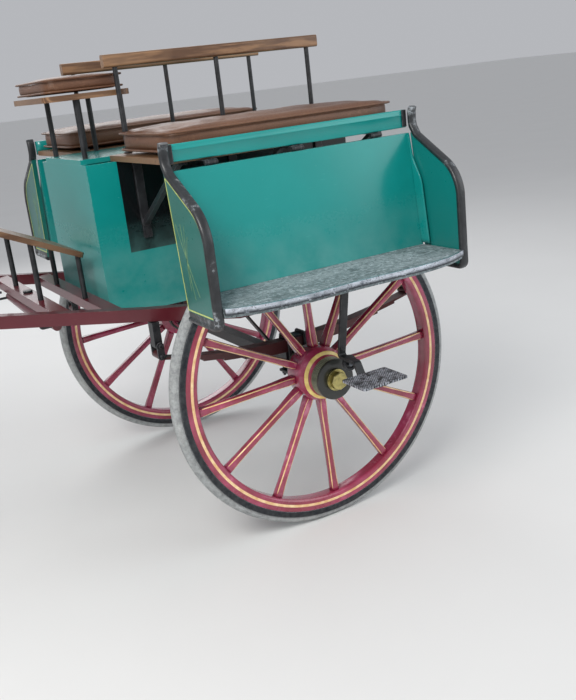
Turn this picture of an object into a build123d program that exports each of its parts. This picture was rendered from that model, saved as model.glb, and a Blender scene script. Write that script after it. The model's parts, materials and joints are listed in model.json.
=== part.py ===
"""Two-wheeled side car, the horse-drawn kind with outward-facing seats over the wheels.

Millimetres. +X points forward along the shafts, +Y to the car's left, +Z up. Every piece is
modelled about the middle of the axle and is moved to the car's own origin, on the ground under
the middle of its length, when it is written.
"""
import os
from math import asin, cos, degrees, radians, sin, sqrt, tan

from build123d import *

os.makedirs("parts", exist_ok=True)

# ---- driving dimensions ---------------------------------------------------------------------
# Wheels
WHEEL_R = 535.0          # rubber tyre, outside
WHEEL_Y = 592.0          # middle of the felloe, from the car's centre plane
RIM_W = 52.0             # felloe and tyre channel across
FELLOE_IN_R = 449.0
FELLOE_OUT_R = 491.0
CHANNEL_R = 512.0        # lips of the steel channel
CHANNEL_T = 5.0
SPOKES = 12
FELLOES = 6
SPOKE_PHASE = 2.7        # degrees, first spoke above the rearward horizontal
SPOKE_W = 28.0
SPOKE_D = 36.0
TENON_W = 20.0
TENON_L = 24.0
NAVE_R = 92.0            # over the spoke belt
NAVE_BACK = -80.0        # inner end of the nave, from the middle of the felloe
NAVE_FRONT = 114.0
NAVE_TAIL_R = 60.0       # turned down for the rear hoop
NAVE_NOSE_R = 62.0       # turned down for the front collar
NAVE_RING_R = 81.0       # painted shoulder
NAVE_NECK_R = 76.0
HOOP_R = 68.0
COLLAR_R = 70.0          # ribs of the front collar
COLLAR_GROOVE_R = 67.0
HOOP_L = 20.0
BELT_HALF = 36.0
BOX_R = 34.0             # iron axle box driven into the nave
ARM_R = 19.0             # axle arm
ARM_FIT = 0.05           # running clearance of the arm in its box
CAP_R = 36.0
JOIN = 0.3               # play between pieces that move past each other

# Axle and springs
AXLE_SQ = 40.0
SPRING_Y = 453.0
SPRING_HALF = 495.0
SPRING_RISE = 55.0
SPRING_TOP = 95.0        # top of the main leaf over the axle
SPRING_W = 45.0
LEAVES = 6
LEAF_T = 7.0
LEAF_SHARES = (1.0, 0.86, 0.70, 0.55, 0.40, 0.25)
EYE_R = 12.0
EYE_PIN_R = 6.0
SHACKLE_T = 6.0
HANGER_PIN_Z = 190.0
U_BOLT_R = 5.0

# Sills and shafts, one timber each side
SILL_BOTTOM = 212.0
SILL_H = 56.0
SILL_W = 44.0
SILL_REAR = -600.0
BEND_X = 200.0           # where the sill starts to rise into the shaft
NECK_X = 500.0           # where the shaft runs straight
TIP_X = 2280.0
SHAFT_RISE = 9.5         # degrees
NECK_Y = 440.0
TIP_Y = 300.0
NECK_SECTION = 40.0
TIP_R = 18.0
TIP_GRIP = 260.0         # round length at each tip
TIP_EASE = 10.0
BEARER_W = 50.0
BEARER_T = 32.0
BEARERS = (-560.0, -330.0, -60.0, 160.0)
FRONT_BAR_X = 600.0
SPLINTER_X = 760.0

# Body
SEAT_FRONT = 461.0       # forward end of the seats
SEAT_REAR = -376.0
WELL_REAR = -430.0
WELL_FRONT = 560.0
WELL_Y = 248.0           # outside of the well
WELL_T = 18.0
WELL_TOP = 758.0
SEAT_T = 18.0
SEAT_IN_Y = 205.0
RAIL_Y = 686.0           # outer face of the seat rail
RAIL_T = 20.0
RAIL_H = 56.0
CUSHION_H = 82.0
SOFT_GAP = 0.3
BACK_Y = 219.0
BACK_IRON_R = 8.0
BACK_RAIL_Z = 1045.0
BACK_RAIL_H = 40.0
BACK_RAIL_T = 28.0
LID_T = 16.0
LID_FRONT = 330.0
LID_HALF = 200.0

# Driver's place
DRIVER_SEAT_Z = 960.0
DRIVER_SEAT_REAR = 350.0
DRIVER_SEAT_FRONT = 640.0
DRIVER_HALF = 200.0
FOOTREST_ANGLE = 25.0
FOOTREST_L = 300.0
FOOTREST_AT = (600.0, 460.0)

# Folding footboards
PANEL_TOP_Z = 741.0
PANEL_TOP_Y = 698.0      # outer face
PANEL_FOOT_Y = 735.0
PANEL_T = 18.0
FOOT_Z = 381.0           # top of the footboard
FOOT_T = 26.0
FOOT_END_Y = 925.0       # front edge at the ends, inside the nosing
FOOT_MID_Y = 977.0
NOSING_T = 8.0
NOSING_H = 18.0
WING_T = 18.0
EDGING_W = 30.0
EDGING_D = 14.0
WING_FRONT_Y = 911.0
WING_BOTTOM_Z = 330.0
HINGE_Y = 694.0
HINGE_Z = 749.5
KNUCKLE_R = 7.0
KNUCKLE_L = 20.0
HINGE_PIN_R = 3.0
HINGE_FIT = 0.06
LEAF_PLATE = 3.0
LID_KNUCKLE_R = 6.0
HINGE_SPREAD = 290.0
STEP_X = -12.0
STEP_L = 164.0
STEP_IN_Y = 858.0
STEP_OUT_Y = 980.0
STEP_Z = 46.0
STEP_T = 7.0
STEP_BAR_W = 26.0
STEP_BAR_T = 9.0

# Swingletree and props
TREE_HALF = 310.0
TREE_MID_R = 22.0
TREE_END_R = 15.0
TREE_PIN_R = 8.0
TREE_DROP = 8.0          # keeps the trace hooks clear of the splinter bar
TREE_COLLAR_R = 18.0
TREE_NUT_R = 16.0
HOOK_REACH = 34.0
HOOK_RISE = 24.0
HOOK_RETURN = 18.0
HOOK_R = 4.5
PROP_X = 1650.0
PROP_R = 15.0
PROP_LEAN = 5.0          # degrees, foot forward of the pivot
PROP_PIN_R = 6.0
PROP_DROP = 24.0         # pivot below the underside of the shaft
LUG_T = 5.0

# ---- line of the left shaft -------------------------------------------------------------------
SILL_MID_Z = SILL_BOTTOM + SILL_H / 2
RISE = tan(radians(SHAFT_RISE))
NECK_Z = SILL_MID_Z + (NECK_X - BEND_X) * RISE


def on_shaft(x_value):
    """Centre of the left shaft at a distance ahead of the axle."""
    if x_value <= BEND_X:
        return x_value, SPRING_Y, SILL_MID_Z
    if x_value <= NECK_X:
        share = (x_value - BEND_X) / (NECK_X - BEND_X)
        return x_value, SPRING_Y + (NECK_Y - SPRING_Y) * share, SILL_MID_Z + (x_value - BEND_X) * RISE
    share = (x_value - NECK_X) / (TIP_X - NECK_X)
    return x_value, NECK_Y + (TIP_Y - NECK_Y) * share, NECK_Z + (x_value - NECK_X) * RISE


SHAFT_RUN = Vector(*on_shaft(TIP_X)) - Vector(*on_shaft(NECK_X))
SHAFT_DIR = SHAFT_RUN.normalized()
SHAFT_SIDE = Vector(-SHAFT_DIR.Y, SHAFT_DIR.X, 0).normalized()
GRIP_X = TIP_X - TIP_GRIP * SHAFT_DIR.X


def square_to_shaft(x_value):
    """A sketch plane square to the straight part of the left shaft."""
    return Plane(origin=on_shaft(x_value), x_dir=SHAFT_SIDE, z_dir=SHAFT_DIR)


# ---- placing --------------------------------------------------------------------------------
TIP_REACH = TIP_X + TIP_EASE * (1 - SHAFT_DIR.X) + (TIP_R - TIP_EASE) * sqrt(1 - SHAFT_DIR.X ** 2)
AXLE_BACK_REACH = max(WHEEL_R, -SILL_REAR)
CAR = Location(((AXLE_BACK_REACH - TIP_REACH) / 2, 0, WHEEL_R))
WHEEL = Plane(origin=(0, WHEEL_Y, 0), x_dir=(-1, 0, 0), z_dir=(0, 1, 0)).location


def save(piece, node):
    """Write one node, moved from the axle to the car's own origin."""
    placed = piece.moved(CAR)
    placed.label = node
    export_step(placed, f"parts/{node}.step")


def save_sides(piece, node):
    """Write a left-hand piece and its mirror image on the right."""
    save(piece, f"left_{node}")
    save(mirror(piece, about=Plane.XZ), f"right_{node}")


def pieces(*parts):
    """Several touching pieces kept as separate solids of one node."""
    return Compound(children=[solid for part in parts for solid in part.solids()])


def slab(x_span, y_span, z_span):
    """A plain board or bar between two values along each axis, for the open part."""
    middle = Vector(*((low + high) / 2 for low, high in (x_span, y_span, z_span)))
    with Locations(middle):
        Box(*(high - low for low, high in (x_span, y_span, z_span)))


def across(y_value, part_x=0.0):
    """A sketch plane looking along the car's side, at one distance from its centre plane."""
    return Plane(origin=(part_x, y_value, 0), x_dir=(1, 0, 0), z_dir=(0, -1, 0))


def end_on(x_value):
    """A sketch plane square to the car's length, drawn in (y, z)."""
    return Plane(origin=(x_value, 0, 0), x_dir=(0, 1, 0), z_dir=(1, 0, 0))


# ---- wheels, drawn about their own axis, +Z outward -------------------------------------------
RING = Plane.XZ
RIM_HALF = RIM_W / 2

with BuildPart() as nave:
    with BuildSketch(RING):
        with BuildLine():
            Polyline(
                (BOX_R, NAVE_BACK), (NAVE_TAIL_R, NAVE_BACK), (NAVE_TAIL_R, NAVE_BACK + HOOP_L),
                (HOOP_R, NAVE_BACK + HOOP_L),
                (84, -BELT_HALF - 6), (NAVE_R, -BELT_HALF), (NAVE_R, BELT_HALF + 6),
                (NAVE_RING_R, BELT_HALF + 16),
                (NAVE_RING_R, BELT_HALF + 24), (NAVE_NECK_R, BELT_HALF + 26), (NAVE_NECK_R, BELT_HALF + 36),
                (NAVE_NOSE_R, BELT_HALF + 36),
                (NAVE_NOSE_R, NAVE_FRONT), (BOX_R, NAVE_FRONT), close=True)
        make_face()
    revolve(axis=Axis.Z)
    with PolarLocations(NAVE_R - TENON_L / 2, SPOKES, start_angle=SPOKE_PHASE):
        Box(TENON_L, TENON_W, SPOKE_D - 8, mode=Mode.SUBTRACT)
    with PolarLocations(NAVE_R, SPOKES, start_angle=SPOKE_PHASE):
        Box(6, SPOKE_W, SPOKE_D, mode=Mode.SUBTRACT)
save_sides(nave.part.moved(WHEEL), "nave")

with BuildPart() as spoke:
    SPOKE_FOOT = NAVE_R - 3
    SPOKE_TOP = sqrt(FELLOE_IN_R ** 2 - (SPOKE_W / 2) ** 2)
    with Locations(((SPOKE_FOOT + SPOKE_TOP) / 2, 0, 0)):
        Box(SPOKE_TOP - SPOKE_FOOT, SPOKE_W, SPOKE_D)
    fillet(spoke.edges().filter_by(Axis.X), 3)
    TENON_FOOT = NAVE_R - TENON_L
    with Locations(((SPOKE_FOOT + TENON_FOOT) / 2, 0, 0)):
        Box(SPOKE_FOOT - TENON_FOOT, TENON_W, SPOKE_D - 8)

with BuildPart() as spokes:
    with PolarLocations(0, SPOKES, start_angle=SPOKE_PHASE):
        add(spoke.part)
save_sides(spokes.part.moved(WHEEL), "spokes")

with BuildPart() as felloe:
    with BuildSketch(RING):
        with Locations(((FELLOE_IN_R + FELLOE_OUT_R) / 2, 0)):
            Rectangle(FELLOE_OUT_R - FELLOE_IN_R, RIM_W)
    FELLOE_ARC = 360 / FELLOES - degrees(0.5 / FELLOE_OUT_R)
    revolve(axis=Axis.Z, revolution_arc=FELLOE_ARC)

with BuildPart() as felloes:
    with PolarLocations(0, FELLOES, start_angle=SPOKE_PHASE + 180 / SPOKES):
        add(felloe.part)
save_sides(felloes.part.moved(WHEEL), "felloes")

CHANNEL_FLOOR = FELLOE_OUT_R + CHANNEL_T
with BuildPart() as tyre_channel:
    with BuildSketch(RING):
        with BuildLine():
            Polyline(
                (FELLOE_OUT_R, -RIM_HALF), (CHANNEL_R, -RIM_HALF), (CHANNEL_R, CHANNEL_T - RIM_HALF),
                (CHANNEL_FLOOR, CHANNEL_T - RIM_HALF), (CHANNEL_FLOOR, RIM_HALF - CHANNEL_T),
                (CHANNEL_R, RIM_HALF - CHANNEL_T), (CHANNEL_R, RIM_HALF), (FELLOE_OUT_R, RIM_HALF),
                close=True)
        make_face()
    revolve(axis=Axis.Z)
save_sides(tyre_channel.part.moved(WHEEL), "tyre_channel")

with BuildPart() as rubber_tyre:
    RUBBER_HALF = RIM_HALF - CHANNEL_T
    SHOULDER_R = CHANNEL_R + 6
    with BuildSketch(RING):
        with BuildLine():
            Polyline(
                (SHOULDER_R, -RUBBER_HALF), (CHANNEL_FLOOR, -RUBBER_HALF), (CHANNEL_FLOOR, RUBBER_HALF),
                (SHOULDER_R, RUBBER_HALF))
            ThreePointArc((SHOULDER_R, RUBBER_HALF), (WHEEL_R, 0), (SHOULDER_R, -RUBBER_HALF))
        make_face()
    revolve(axis=Axis.Z)
save_sides(rubber_tyre.part.moved(WHEEL), "rubber_tyre")

HOOP_FOOT = BELT_HALF + 36
FACE_T = 6.0             # iron plate over the front of the nave
with BuildPart() as nave_bands:
    with BuildSketch(RING):
        with BuildLine():
            Polyline(
                (NAVE_NOSE_R, HOOP_FOOT), (COLLAR_R, HOOP_FOOT), (COLLAR_R, HOOP_FOOT + 8),
                (COLLAR_GROOVE_R, HOOP_FOOT + 10),
                (COLLAR_GROOVE_R, HOOP_FOOT + 14), (COLLAR_R, HOOP_FOOT + 16), (COLLAR_R, HOOP_FOOT + 24),
                (COLLAR_GROOVE_R, HOOP_FOOT + 26),
                (COLLAR_GROOVE_R, HOOP_FOOT + 30), (COLLAR_R, HOOP_FOOT + 32), (COLLAR_R, NAVE_FRONT - 2),
                (HOOP_R, NAVE_FRONT),
                (NAVE_NOSE_R, NAVE_FRONT), close=True)
        make_face()
        with Locations(((NAVE_TAIL_R + HOOP_R) / 2, NAVE_BACK + HOOP_L / 2)):
            Rectangle(HOOP_R - NAVE_TAIL_R, HOOP_L)
        with Locations(((BOX_R + HOOP_R) / 2, NAVE_FRONT + FACE_T / 2)):
            Rectangle(HOOP_R - BOX_R, FACE_T)
    revolve(axis=Axis.Z)
save_sides(nave_bands.part.moved(WHEEL), "nave_bands")

BOX_BACK = NAVE_BACK - 4
BOX_FRONT = NAVE_FRONT + 6
with BuildPart() as axle_box:
    with BuildSketch(RING):
        with Locations(((BOX_R + ARM_R + ARM_FIT) / 2, (BOX_BACK + BOX_FRONT) / 2)):
            Rectangle(BOX_R - ARM_R - ARM_FIT, BOX_FRONT - BOX_BACK)
    revolve(axis=Axis.Z)
save_sides(axle_box.part.moved(WHEEL), "axle_box")

CAP_FLANGE = BOX_FRONT + 7
CAP_END = BOX_FRONT + 28
with BuildPart() as hub_cap:
    with BuildSketch(Plane.XY.offset(BOX_FRONT)):
        Circle(CAP_R)
    extrude(amount=CAP_FLANGE - BOX_FRONT)
    with BuildSketch(Plane.XY.offset(CAP_FLANGE)):
        RegularPolygon(28, 8, major_radius=False)
    extrude(amount=CAP_END - CAP_FLANGE)
    with BuildSketch(Plane.XY.offset(BOX_FRONT)):
        Circle(24)
    extrude(amount=CAP_END - BOX_FRONT - 6, mode=Mode.SUBTRACT)
    chamfer(hub_cap.faces().sort_by(Axis.Z)[-1].edges(), 3)
save_sides(hub_cap.part.moved(WHEEL), "hub_cap")

# ---- axle -----------------------------------------------------------------------------------
COLLAR_END = WHEEL_Y + BOX_BACK - JOIN
ARM_END = WHEEL_Y + BOX_FRONT
with BuildPart() as axle:
    Box(AXLE_SQ, 2 * (COLLAR_END - 12), AXLE_SQ)
    with BuildSketch(Plane.XZ.offset(-COLLAR_END)):
        Circle(32)
    extrude(amount=14)
    with BuildSketch(Plane.XZ.offset(COLLAR_END)):
        Circle(32)
    extrude(amount=-14)
    with BuildSketch(Plane.XZ):
        Circle(ARM_R)
    extrude(amount=ARM_END, both=True)
    with BuildSketch(Plane.XZ):
        Circle(12)
    extrude(amount=ARM_END + 19, both=True)
save(axle.part, "axle")

with BuildPart() as axle_nuts:
    for side in (1, -1):
        face = Plane(origin=(0, side * (ARM_END + JOIN), 0), x_dir=(1, 0, 0), z_dir=(0, side, 0))
        with BuildSketch(face):
            Circle(22.5)
            Circle(12, mode=Mode.SUBTRACT)
        extrude(amount=4)
        with BuildSketch(face.offset(4)):
            RegularPolygon(17, 6, major_radius=False)
            Circle(12, mode=Mode.SUBTRACT)
        extrude(amount=13)
save(axle_nuts.part, "axle_nuts")

# ---- springs --------------------------------------------------------------------------------
SPRING_R = (SPRING_HALF ** 2 + SPRING_RISE ** 2) / (2 * SPRING_RISE)
SPRING_CENTRE = SPRING_TOP + SPRING_R
STACK_BOTTOM = SPRING_TOP - LEAVES * LEAF_T
END_ANGLE = asin(SPRING_HALF / SPRING_R)


def on_spring(radius, angle):
    """A point at one radius and angle about the centre that the leaves are bent round."""
    return radius * sin(angle), SPRING_CENTRE - radius * cos(angle)


EYE_X, EYE_Z = on_spring(SPRING_R + LEAF_T - EYE_R, END_ANGLE)

def spring_leaf(number, share):
    """One leaf of the stack, counted down from the long one, which has an eye at each end."""
    inner = SPRING_R + number * LEAF_T
    outer = inner + LEAF_T
    angle = END_ANGLE * share
    with BuildPart() as leaf:
        with BuildSketch(across(SPRING_Y)):
            with BuildLine():
                ThreePointArc(on_spring(inner, -angle), on_spring(inner, 0), on_spring(inner, angle))
                Line(on_spring(inner, angle), on_spring(outer, angle))
                ThreePointArc(on_spring(outer, angle), on_spring(outer, 0), on_spring(outer, -angle))
                Line(on_spring(outer, -angle), on_spring(inner, -angle))
            make_face()
            if number == 0:
                with Locations((EYE_X, EYE_Z), (-EYE_X, EYE_Z)):
                    Circle(EYE_R)
                    Circle(EYE_PIN_R, mode=Mode.SUBTRACT)
        extrude(amount=SPRING_W / 2, both=True)
    return leaf.part


save_sides(pieces(*[spring_leaf(number, share) for number, share in enumerate(LEAF_SHARES)]), "spring")

CLIP_X = 32.0
SEAT_PLATE_HALF = 45.0
CLIP_PLATE_HALF = 42.0
STACK_HALF = 22.0        # half the width of the plates over the spring
TIE_PLATE_HALF = 38.0
LEG_Y = SPRING_W / 2 + U_BOLT_R + JOIN
PLATE_LOW = -AXLE_SQ / 2 - 8
CLIP_TOP = SPRING_TOP + 9
LEG_LOW = PLATE_LOW - 16
with BuildPart() as clip_plates:
    slab((-SEAT_PLATE_HALF, SEAT_PLATE_HALF), (SPRING_Y - STACK_HALF, SPRING_Y + STACK_HALF),
         (AXLE_SQ / 2, STACK_BOTTOM))
    slab((-SEAT_PLATE_HALF, SEAT_PLATE_HALF), (SPRING_Y - TIE_PLATE_HALF, SPRING_Y + TIE_PLATE_HALF),
         (PLATE_LOW, -AXLE_SQ / 2))
    slab((-CLIP_PLATE_HALF, CLIP_PLATE_HALF), (SPRING_Y - STACK_HALF, SPRING_Y + STACK_HALF),
         (SPRING_TOP + 0.8, CLIP_TOP))
    with Locations((0, SPRING_Y, PLATE_LOW)):
        with GridLocations(2 * CLIP_X, 2 * LEG_Y, 2, 2):
            Cylinder(U_BOLT_R + ARM_FIT, 30, mode=Mode.SUBTRACT)
    mirror(about=Plane.XZ)

with BuildPart() as u_bolts:
    for x_value in (-CLIP_X, CLIP_X):
        with BuildLine() as bolt_path:
            FilletPolyline(
                (x_value, SPRING_Y - LEG_Y, LEG_LOW), (x_value, SPRING_Y - LEG_Y, CLIP_TOP + U_BOLT_R),
                (x_value, SPRING_Y + LEG_Y, CLIP_TOP + U_BOLT_R), (x_value, SPRING_Y + LEG_Y, LEG_LOW),
                radius=8)
        with BuildSketch(Plane.XY.offset(LEG_LOW)):
            with Locations((x_value, SPRING_Y - LEG_Y)):
                Circle(U_BOLT_R)
        sweep(path=bolt_path.line)
    mirror(about=Plane.XZ)

with BuildPart() as clip_nuts:
    with BuildSketch(Plane.XY.offset(PLATE_LOW)):
        with Locations((0, SPRING_Y)):
            with GridLocations(2 * CLIP_X, 2 * LEG_Y, 2, 2):
                RegularPolygon(9, 6)
                Circle(U_BOLT_R, mode=Mode.SUBTRACT)
    extrude(amount=-9)
    mirror(about=Plane.XZ)
save(pieces(clip_plates.part, u_bolts.part, clip_nuts.part), "spring_clips")

# ---- sills and shafts -------------------------------------------------------------------------
with BuildPart() as shaft:
    slab((SILL_REAR, BEND_X), (SPRING_Y - SILL_W / 2, SPRING_Y + SILL_W / 2),
         (SILL_BOTTOM, SILL_BOTTOM + SILL_H))
    with BuildSketch(end_on(BEND_X)):
        with Locations((SPRING_Y, SILL_MID_Z)):
            Rectangle(SILL_W, SILL_H)
    with BuildSketch(square_to_shaft(NECK_X)):
        Rectangle(NECK_SECTION, NECK_SECTION)
    loft()
    with BuildSketch(square_to_shaft(NECK_X)):
        Rectangle(NECK_SECTION, NECK_SECTION)
    with BuildSketch(square_to_shaft(GRIP_X)):
        Rectangle(2 * TIP_R, 2 * TIP_R)
    loft()
    with BuildSketch(square_to_shaft(GRIP_X)):
        Circle(TIP_R)
    extrude(amount=TIP_GRIP)
    fillet(shaft.edges().sort_by(Axis.X)[-1], TIP_EASE)
save_sides(shaft.part, "shaft")


def shaft_underside(x_value):
    """Height of the shaft's underside where it runs straight."""
    share = (x_value - NECK_X) / (GRIP_X - NECK_X)
    half = NECK_SECTION / 2 + (TIP_R - NECK_SECTION / 2) * share
    return on_shaft(x_value)[2] - half / cos(radians(SHAFT_RISE))


SPLINTER_Z = on_shaft(SPLINTER_X)[2]
FRONT_BAR_Z = on_shaft(FRONT_BAR_X)[2]
with BuildPart() as cross_bars:
    for x_value in BEARERS:
        slab((x_value - BEARER_W / 2, x_value + BEARER_W / 2), (-SPRING_Y, SPRING_Y),
             (SILL_MID_Z - BEARER_T / 2, SILL_MID_Z + BEARER_T / 2))
    for x_value, z_value in ((FRONT_BAR_X, FRONT_BAR_Z), (SPLINTER_X, SPLINTER_Z)):
        slab((x_value - BEARER_W / 2, x_value + BEARER_W / 2), (-NECK_Y + 12, NECK_Y - 12),
             (z_value - BEARER_T / 2, z_value + BEARER_T / 2))
    add(shaft.part, mode=Mode.SUBTRACT)
    add(mirror(shaft.part, about=Plane.XZ), mode=Mode.SUBTRACT)
    with Locations((SPLINTER_X, 0, SPLINTER_Z)):
        Cylinder(TREE_PIN_R, 2 * BEARER_T, mode=Mode.SUBTRACT)
save(cross_bars.part, "cross_bars")

BEARER_BOTTOM = SILL_MID_Z - BEARER_T / 2
STAY_Y = 400.0
STAY_TOP_X = BEARERS[-1]
with BuildPart() as axle_stays:
    with BuildSketch(across(STAY_Y)):
        with BuildLine():
            FilletPolyline(
                (-18, AXLE_SQ / 2), (-18, AXLE_SQ / 2 + 9), (24, AXLE_SQ / 2 + 9),
                (STAY_TOP_X - 8, BEARER_BOTTOM - 7), (STAY_TOP_X - 8, BEARER_BOTTOM),
                (STAY_TOP_X + 24, BEARER_BOTTOM), (STAY_TOP_X + 24, BEARER_BOTTOM - 9),
                (STAY_TOP_X - 2, BEARER_BOTTOM - 9), (28, AXLE_SQ / 2), radius=1, close=True)
        make_face()
    extrude(amount=13, both=True)
    mirror(about=Plane.XZ)
save(axle_stays.part, "axle_stays")

SIDE_GAP = SPRING_W / 2 + JOIN
LUG_HALF = SPRING_W / 2 - 6
FRONT_LUG_TOP = on_shaft(EYE_X)[2] - NECK_SECTION / 2 / cos(radians(SHAFT_RISE)) - 3
with BuildPart() as hanger_lugs:
    for x_value, lug_top in ((EYE_X, FRONT_LUG_TOP), (-EYE_X, SILL_BOTTOM)):
        with BuildSketch(across(SPRING_Y)):
            with Locations((x_value, HANGER_PIN_Z)):
                Circle(13)
            with Locations((x_value, (HANGER_PIN_Z + lug_top) / 2)):
                Rectangle(26, lug_top - HANGER_PIN_Z)
            with Locations((x_value, HANGER_PIN_Z)):
                Circle(EYE_PIN_R, mode=Mode.SUBTRACT)
        extrude(amount=LUG_HALF, both=True)
    mirror(about=Plane.XZ)

with BuildPart() as shackle_straps:
    for x_value in (EYE_X, -EYE_X):
        for y_value in (SPRING_Y - SIDE_GAP - SHACKLE_T, SPRING_Y + SIDE_GAP):
            with BuildSketch(across(y_value)):
                with Locations((x_value, (HANGER_PIN_Z + EYE_Z) / 2)):
                    SlotCenterToCenter(HANGER_PIN_Z - EYE_Z, 24, rotation=90)
                with Locations((x_value, HANGER_PIN_Z), (x_value, EYE_Z)):
                    Circle(EYE_PIN_R, mode=Mode.SUBTRACT)
            extrude(amount=-SHACKLE_T)
    mirror(about=Plane.XZ)

with BuildPart() as shackle_pins:
    with BuildSketch(across(SPRING_Y)):
        with Locations((EYE_X, HANGER_PIN_Z), (-EYE_X, HANGER_PIN_Z), (EYE_X, EYE_Z), (-EYE_X, EYE_Z)):
            Circle(EYE_PIN_R - ARM_FIT)
    extrude(amount=SIDE_GAP + SHACKLE_T + 7, both=True)
    mirror(about=Plane.XZ)
save(pieces(hanger_lugs.part, shackle_straps.part, shackle_pins.part), "spring_shackles")

# ---- body -----------------------------------------------------------------------------------
WELL_FLOOR = SILL_MID_Z + BEARER_T / 2
WELL_IN = WELL_Y - WELL_T
SEAT_TOP = WELL_TOP + SEAT_T
LID_TOP = WELL_TOP + LID_T

with BuildPart() as well_sides:
    for side in (1, -1):
        slab((WELL_REAR, WELL_FRONT), sorted((side * WELL_IN, side * WELL_Y)),
             (WELL_FLOOR + WELL_T, WELL_TOP))

with BuildPart() as well_base:
    slab((WELL_REAR, WELL_FRONT), (-WELL_Y, WELL_Y), (WELL_FLOOR, WELL_FLOOR + WELL_T))

with BuildPart() as well_ends:
    slab((WELL_REAR, WELL_REAR + WELL_T), (-WELL_IN, WELL_IN), (WELL_FLOOR + WELL_T, WELL_TOP))
    slab((WELL_FRONT - WELL_T, WELL_FRONT), (-WELL_IN, WELL_IN), (WELL_FLOOR + WELL_T, WELL_TOP))
    slab((LID_FRONT - 30, LID_FRONT + 30), (-WELL_IN, WELL_IN), (WELL_TOP - 40, WELL_TOP))

with BuildPart() as well_head:
    slab((LID_FRONT + 2, WELL_FRONT), (-LID_HALF, LID_HALF), (WELL_TOP, LID_TOP))
save(pieces(well_sides.part, well_base.part, well_ends.part, well_head.part), "well_box")

with BuildPart() as seat_boards:
    slab((SEAT_REAR, SEAT_FRONT), (SEAT_IN_Y, RAIL_Y - RAIL_T), (WELL_TOP, SEAT_TOP))
    mirror(about=Plane.XZ)
save(seat_boards.part, "seat_boards")

RAIL_TOP = WELL_TOP + RAIL_H
with BuildPart() as seat_rails:
    slab((SEAT_REAR, SEAT_FRONT), (RAIL_Y - RAIL_T, RAIL_Y), (WELL_TOP, RAIL_TOP))
    fillet(seat_rails.edges().filter_by(Axis.X).group_by(Axis.Z)[-1], 4)
    mirror(about=Plane.XZ)
save(seat_rails.part, "seat_rails")

BRACKET_LOW = 560.0
BRACKET_HALF = 14.0
BRACKET_REACH = RAIL_Y - 60
BRACKETS = (SEAT_REAR + 70, (SEAT_REAR + SEAT_FRONT) / 2, SEAT_FRONT - 70)
IRON_T = 10.0
with BuildPart() as bracket_legs:
    for x_value in BRACKETS:
        slab((x_value - BRACKET_HALF, x_value + BRACKET_HALF), (WELL_Y, WELL_Y + IRON_T),
             (BRACKET_LOW - 60, WELL_TOP))
    mirror(about=Plane.XZ)

with BuildPart() as bracket_arms:
    for x_value in BRACKETS:
        slab((x_value - BRACKET_HALF, x_value + BRACKET_HALF), (WELL_Y + IRON_T, BRACKET_REACH),
             (WELL_TOP - IRON_T, WELL_TOP))
    mirror(about=Plane.XZ)

with BuildPart() as bracket_struts:
    for x_value in BRACKETS:
        with BuildSketch(end_on(x_value)):
            with BuildLine():
                Polyline(
                    (WELL_Y + IRON_T, BRACKET_LOW - 20), (WELL_Y + IRON_T, BRACKET_LOW),
                    (BRACKET_REACH - 50, WELL_TOP - IRON_T), (BRACKET_REACH - 22, WELL_TOP - IRON_T),
                    close=True)
            make_face()
        extrude(amount=9, both=True)
    mirror(about=Plane.XZ)

with BuildPart() as rail_corners:
    for x_value, ahead in ((SEAT_FRONT, 1), (SEAT_REAR, -1)):
        slab(sorted((x_value, x_value - ahead * 16)), (RAIL_Y, RAIL_Y + 3), (WELL_TOP + 3, RAIL_TOP))
    mirror(about=Plane.XZ)
save(pieces(bracket_legs.part, bracket_arms.part, bracket_struts.part, rail_corners.part), "seat_irons")

with BuildPart() as cushion:
    slab((SEAT_REAR + 12, SEAT_FRONT - 12), (BACK_Y + 24, RAIL_Y - RAIL_T - 4),
         (SEAT_TOP + SOFT_GAP, SEAT_TOP + SOFT_GAP + CUSHION_H))
    fillet(cushion.edges(), 18)
save_sides(cushion.part, "cushion")

BACK_IRONS = (SEAT_REAR + 60, (SEAT_REAR + SEAT_FRONT) / 2, SEAT_FRONT - 60)
with BuildPart() as back_irons:
    for x_value in BACK_IRONS:
        with BuildSketch(Plane.XY.offset(SEAT_TOP)):
            with Locations((x_value, BACK_Y)):
                Circle(14)
        extrude(amount=5)
        with BuildSketch(Plane.XY.offset(SEAT_TOP)):
            with Locations((x_value, BACK_Y)):
                Circle(BACK_IRON_R)
        extrude(amount=BACK_RAIL_Z - SEAT_TOP)
    mirror(about=Plane.XZ)
save(back_irons.part, "back_irons")

with BuildPart() as back_rails:
    slab((SEAT_REAR + 20, SEAT_FRONT - 20), (BACK_Y - BACK_RAIL_T / 2, BACK_Y + BACK_RAIL_T / 2),
         (BACK_RAIL_Z, BACK_RAIL_Z + BACK_RAIL_H))
    fillet(back_rails.edges().filter_by(Axis.X), 8)
    mirror(about=Plane.XZ)
save(back_rails.part, "back_rails")

# ---- driver's place ---------------------------------------------------------------------------
DRIVER_SEAT_TOP = DRIVER_SEAT_Z + SEAT_T
with BuildPart() as driver_seat:
    slab((DRIVER_SEAT_REAR, DRIVER_SEAT_FRONT), (-DRIVER_HALF, DRIVER_HALF),
         (DRIVER_SEAT_Z, DRIVER_SEAT_TOP))
    fillet(driver_seat.edges().filter_by(Axis.Z), 30)
save(driver_seat.part, "driver_seat")

with BuildPart() as driver_cushion:
    slab((DRIVER_SEAT_REAR + 10, DRIVER_SEAT_FRONT - 10), (-DRIVER_HALF + 10, DRIVER_HALF - 10),
         (DRIVER_SEAT_TOP + SOFT_GAP, DRIVER_SEAT_TOP + SOFT_GAP + 60))
    fillet(driver_cushion.edges(), 16)
save(driver_cushion.part, "driver_cushion")

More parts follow.
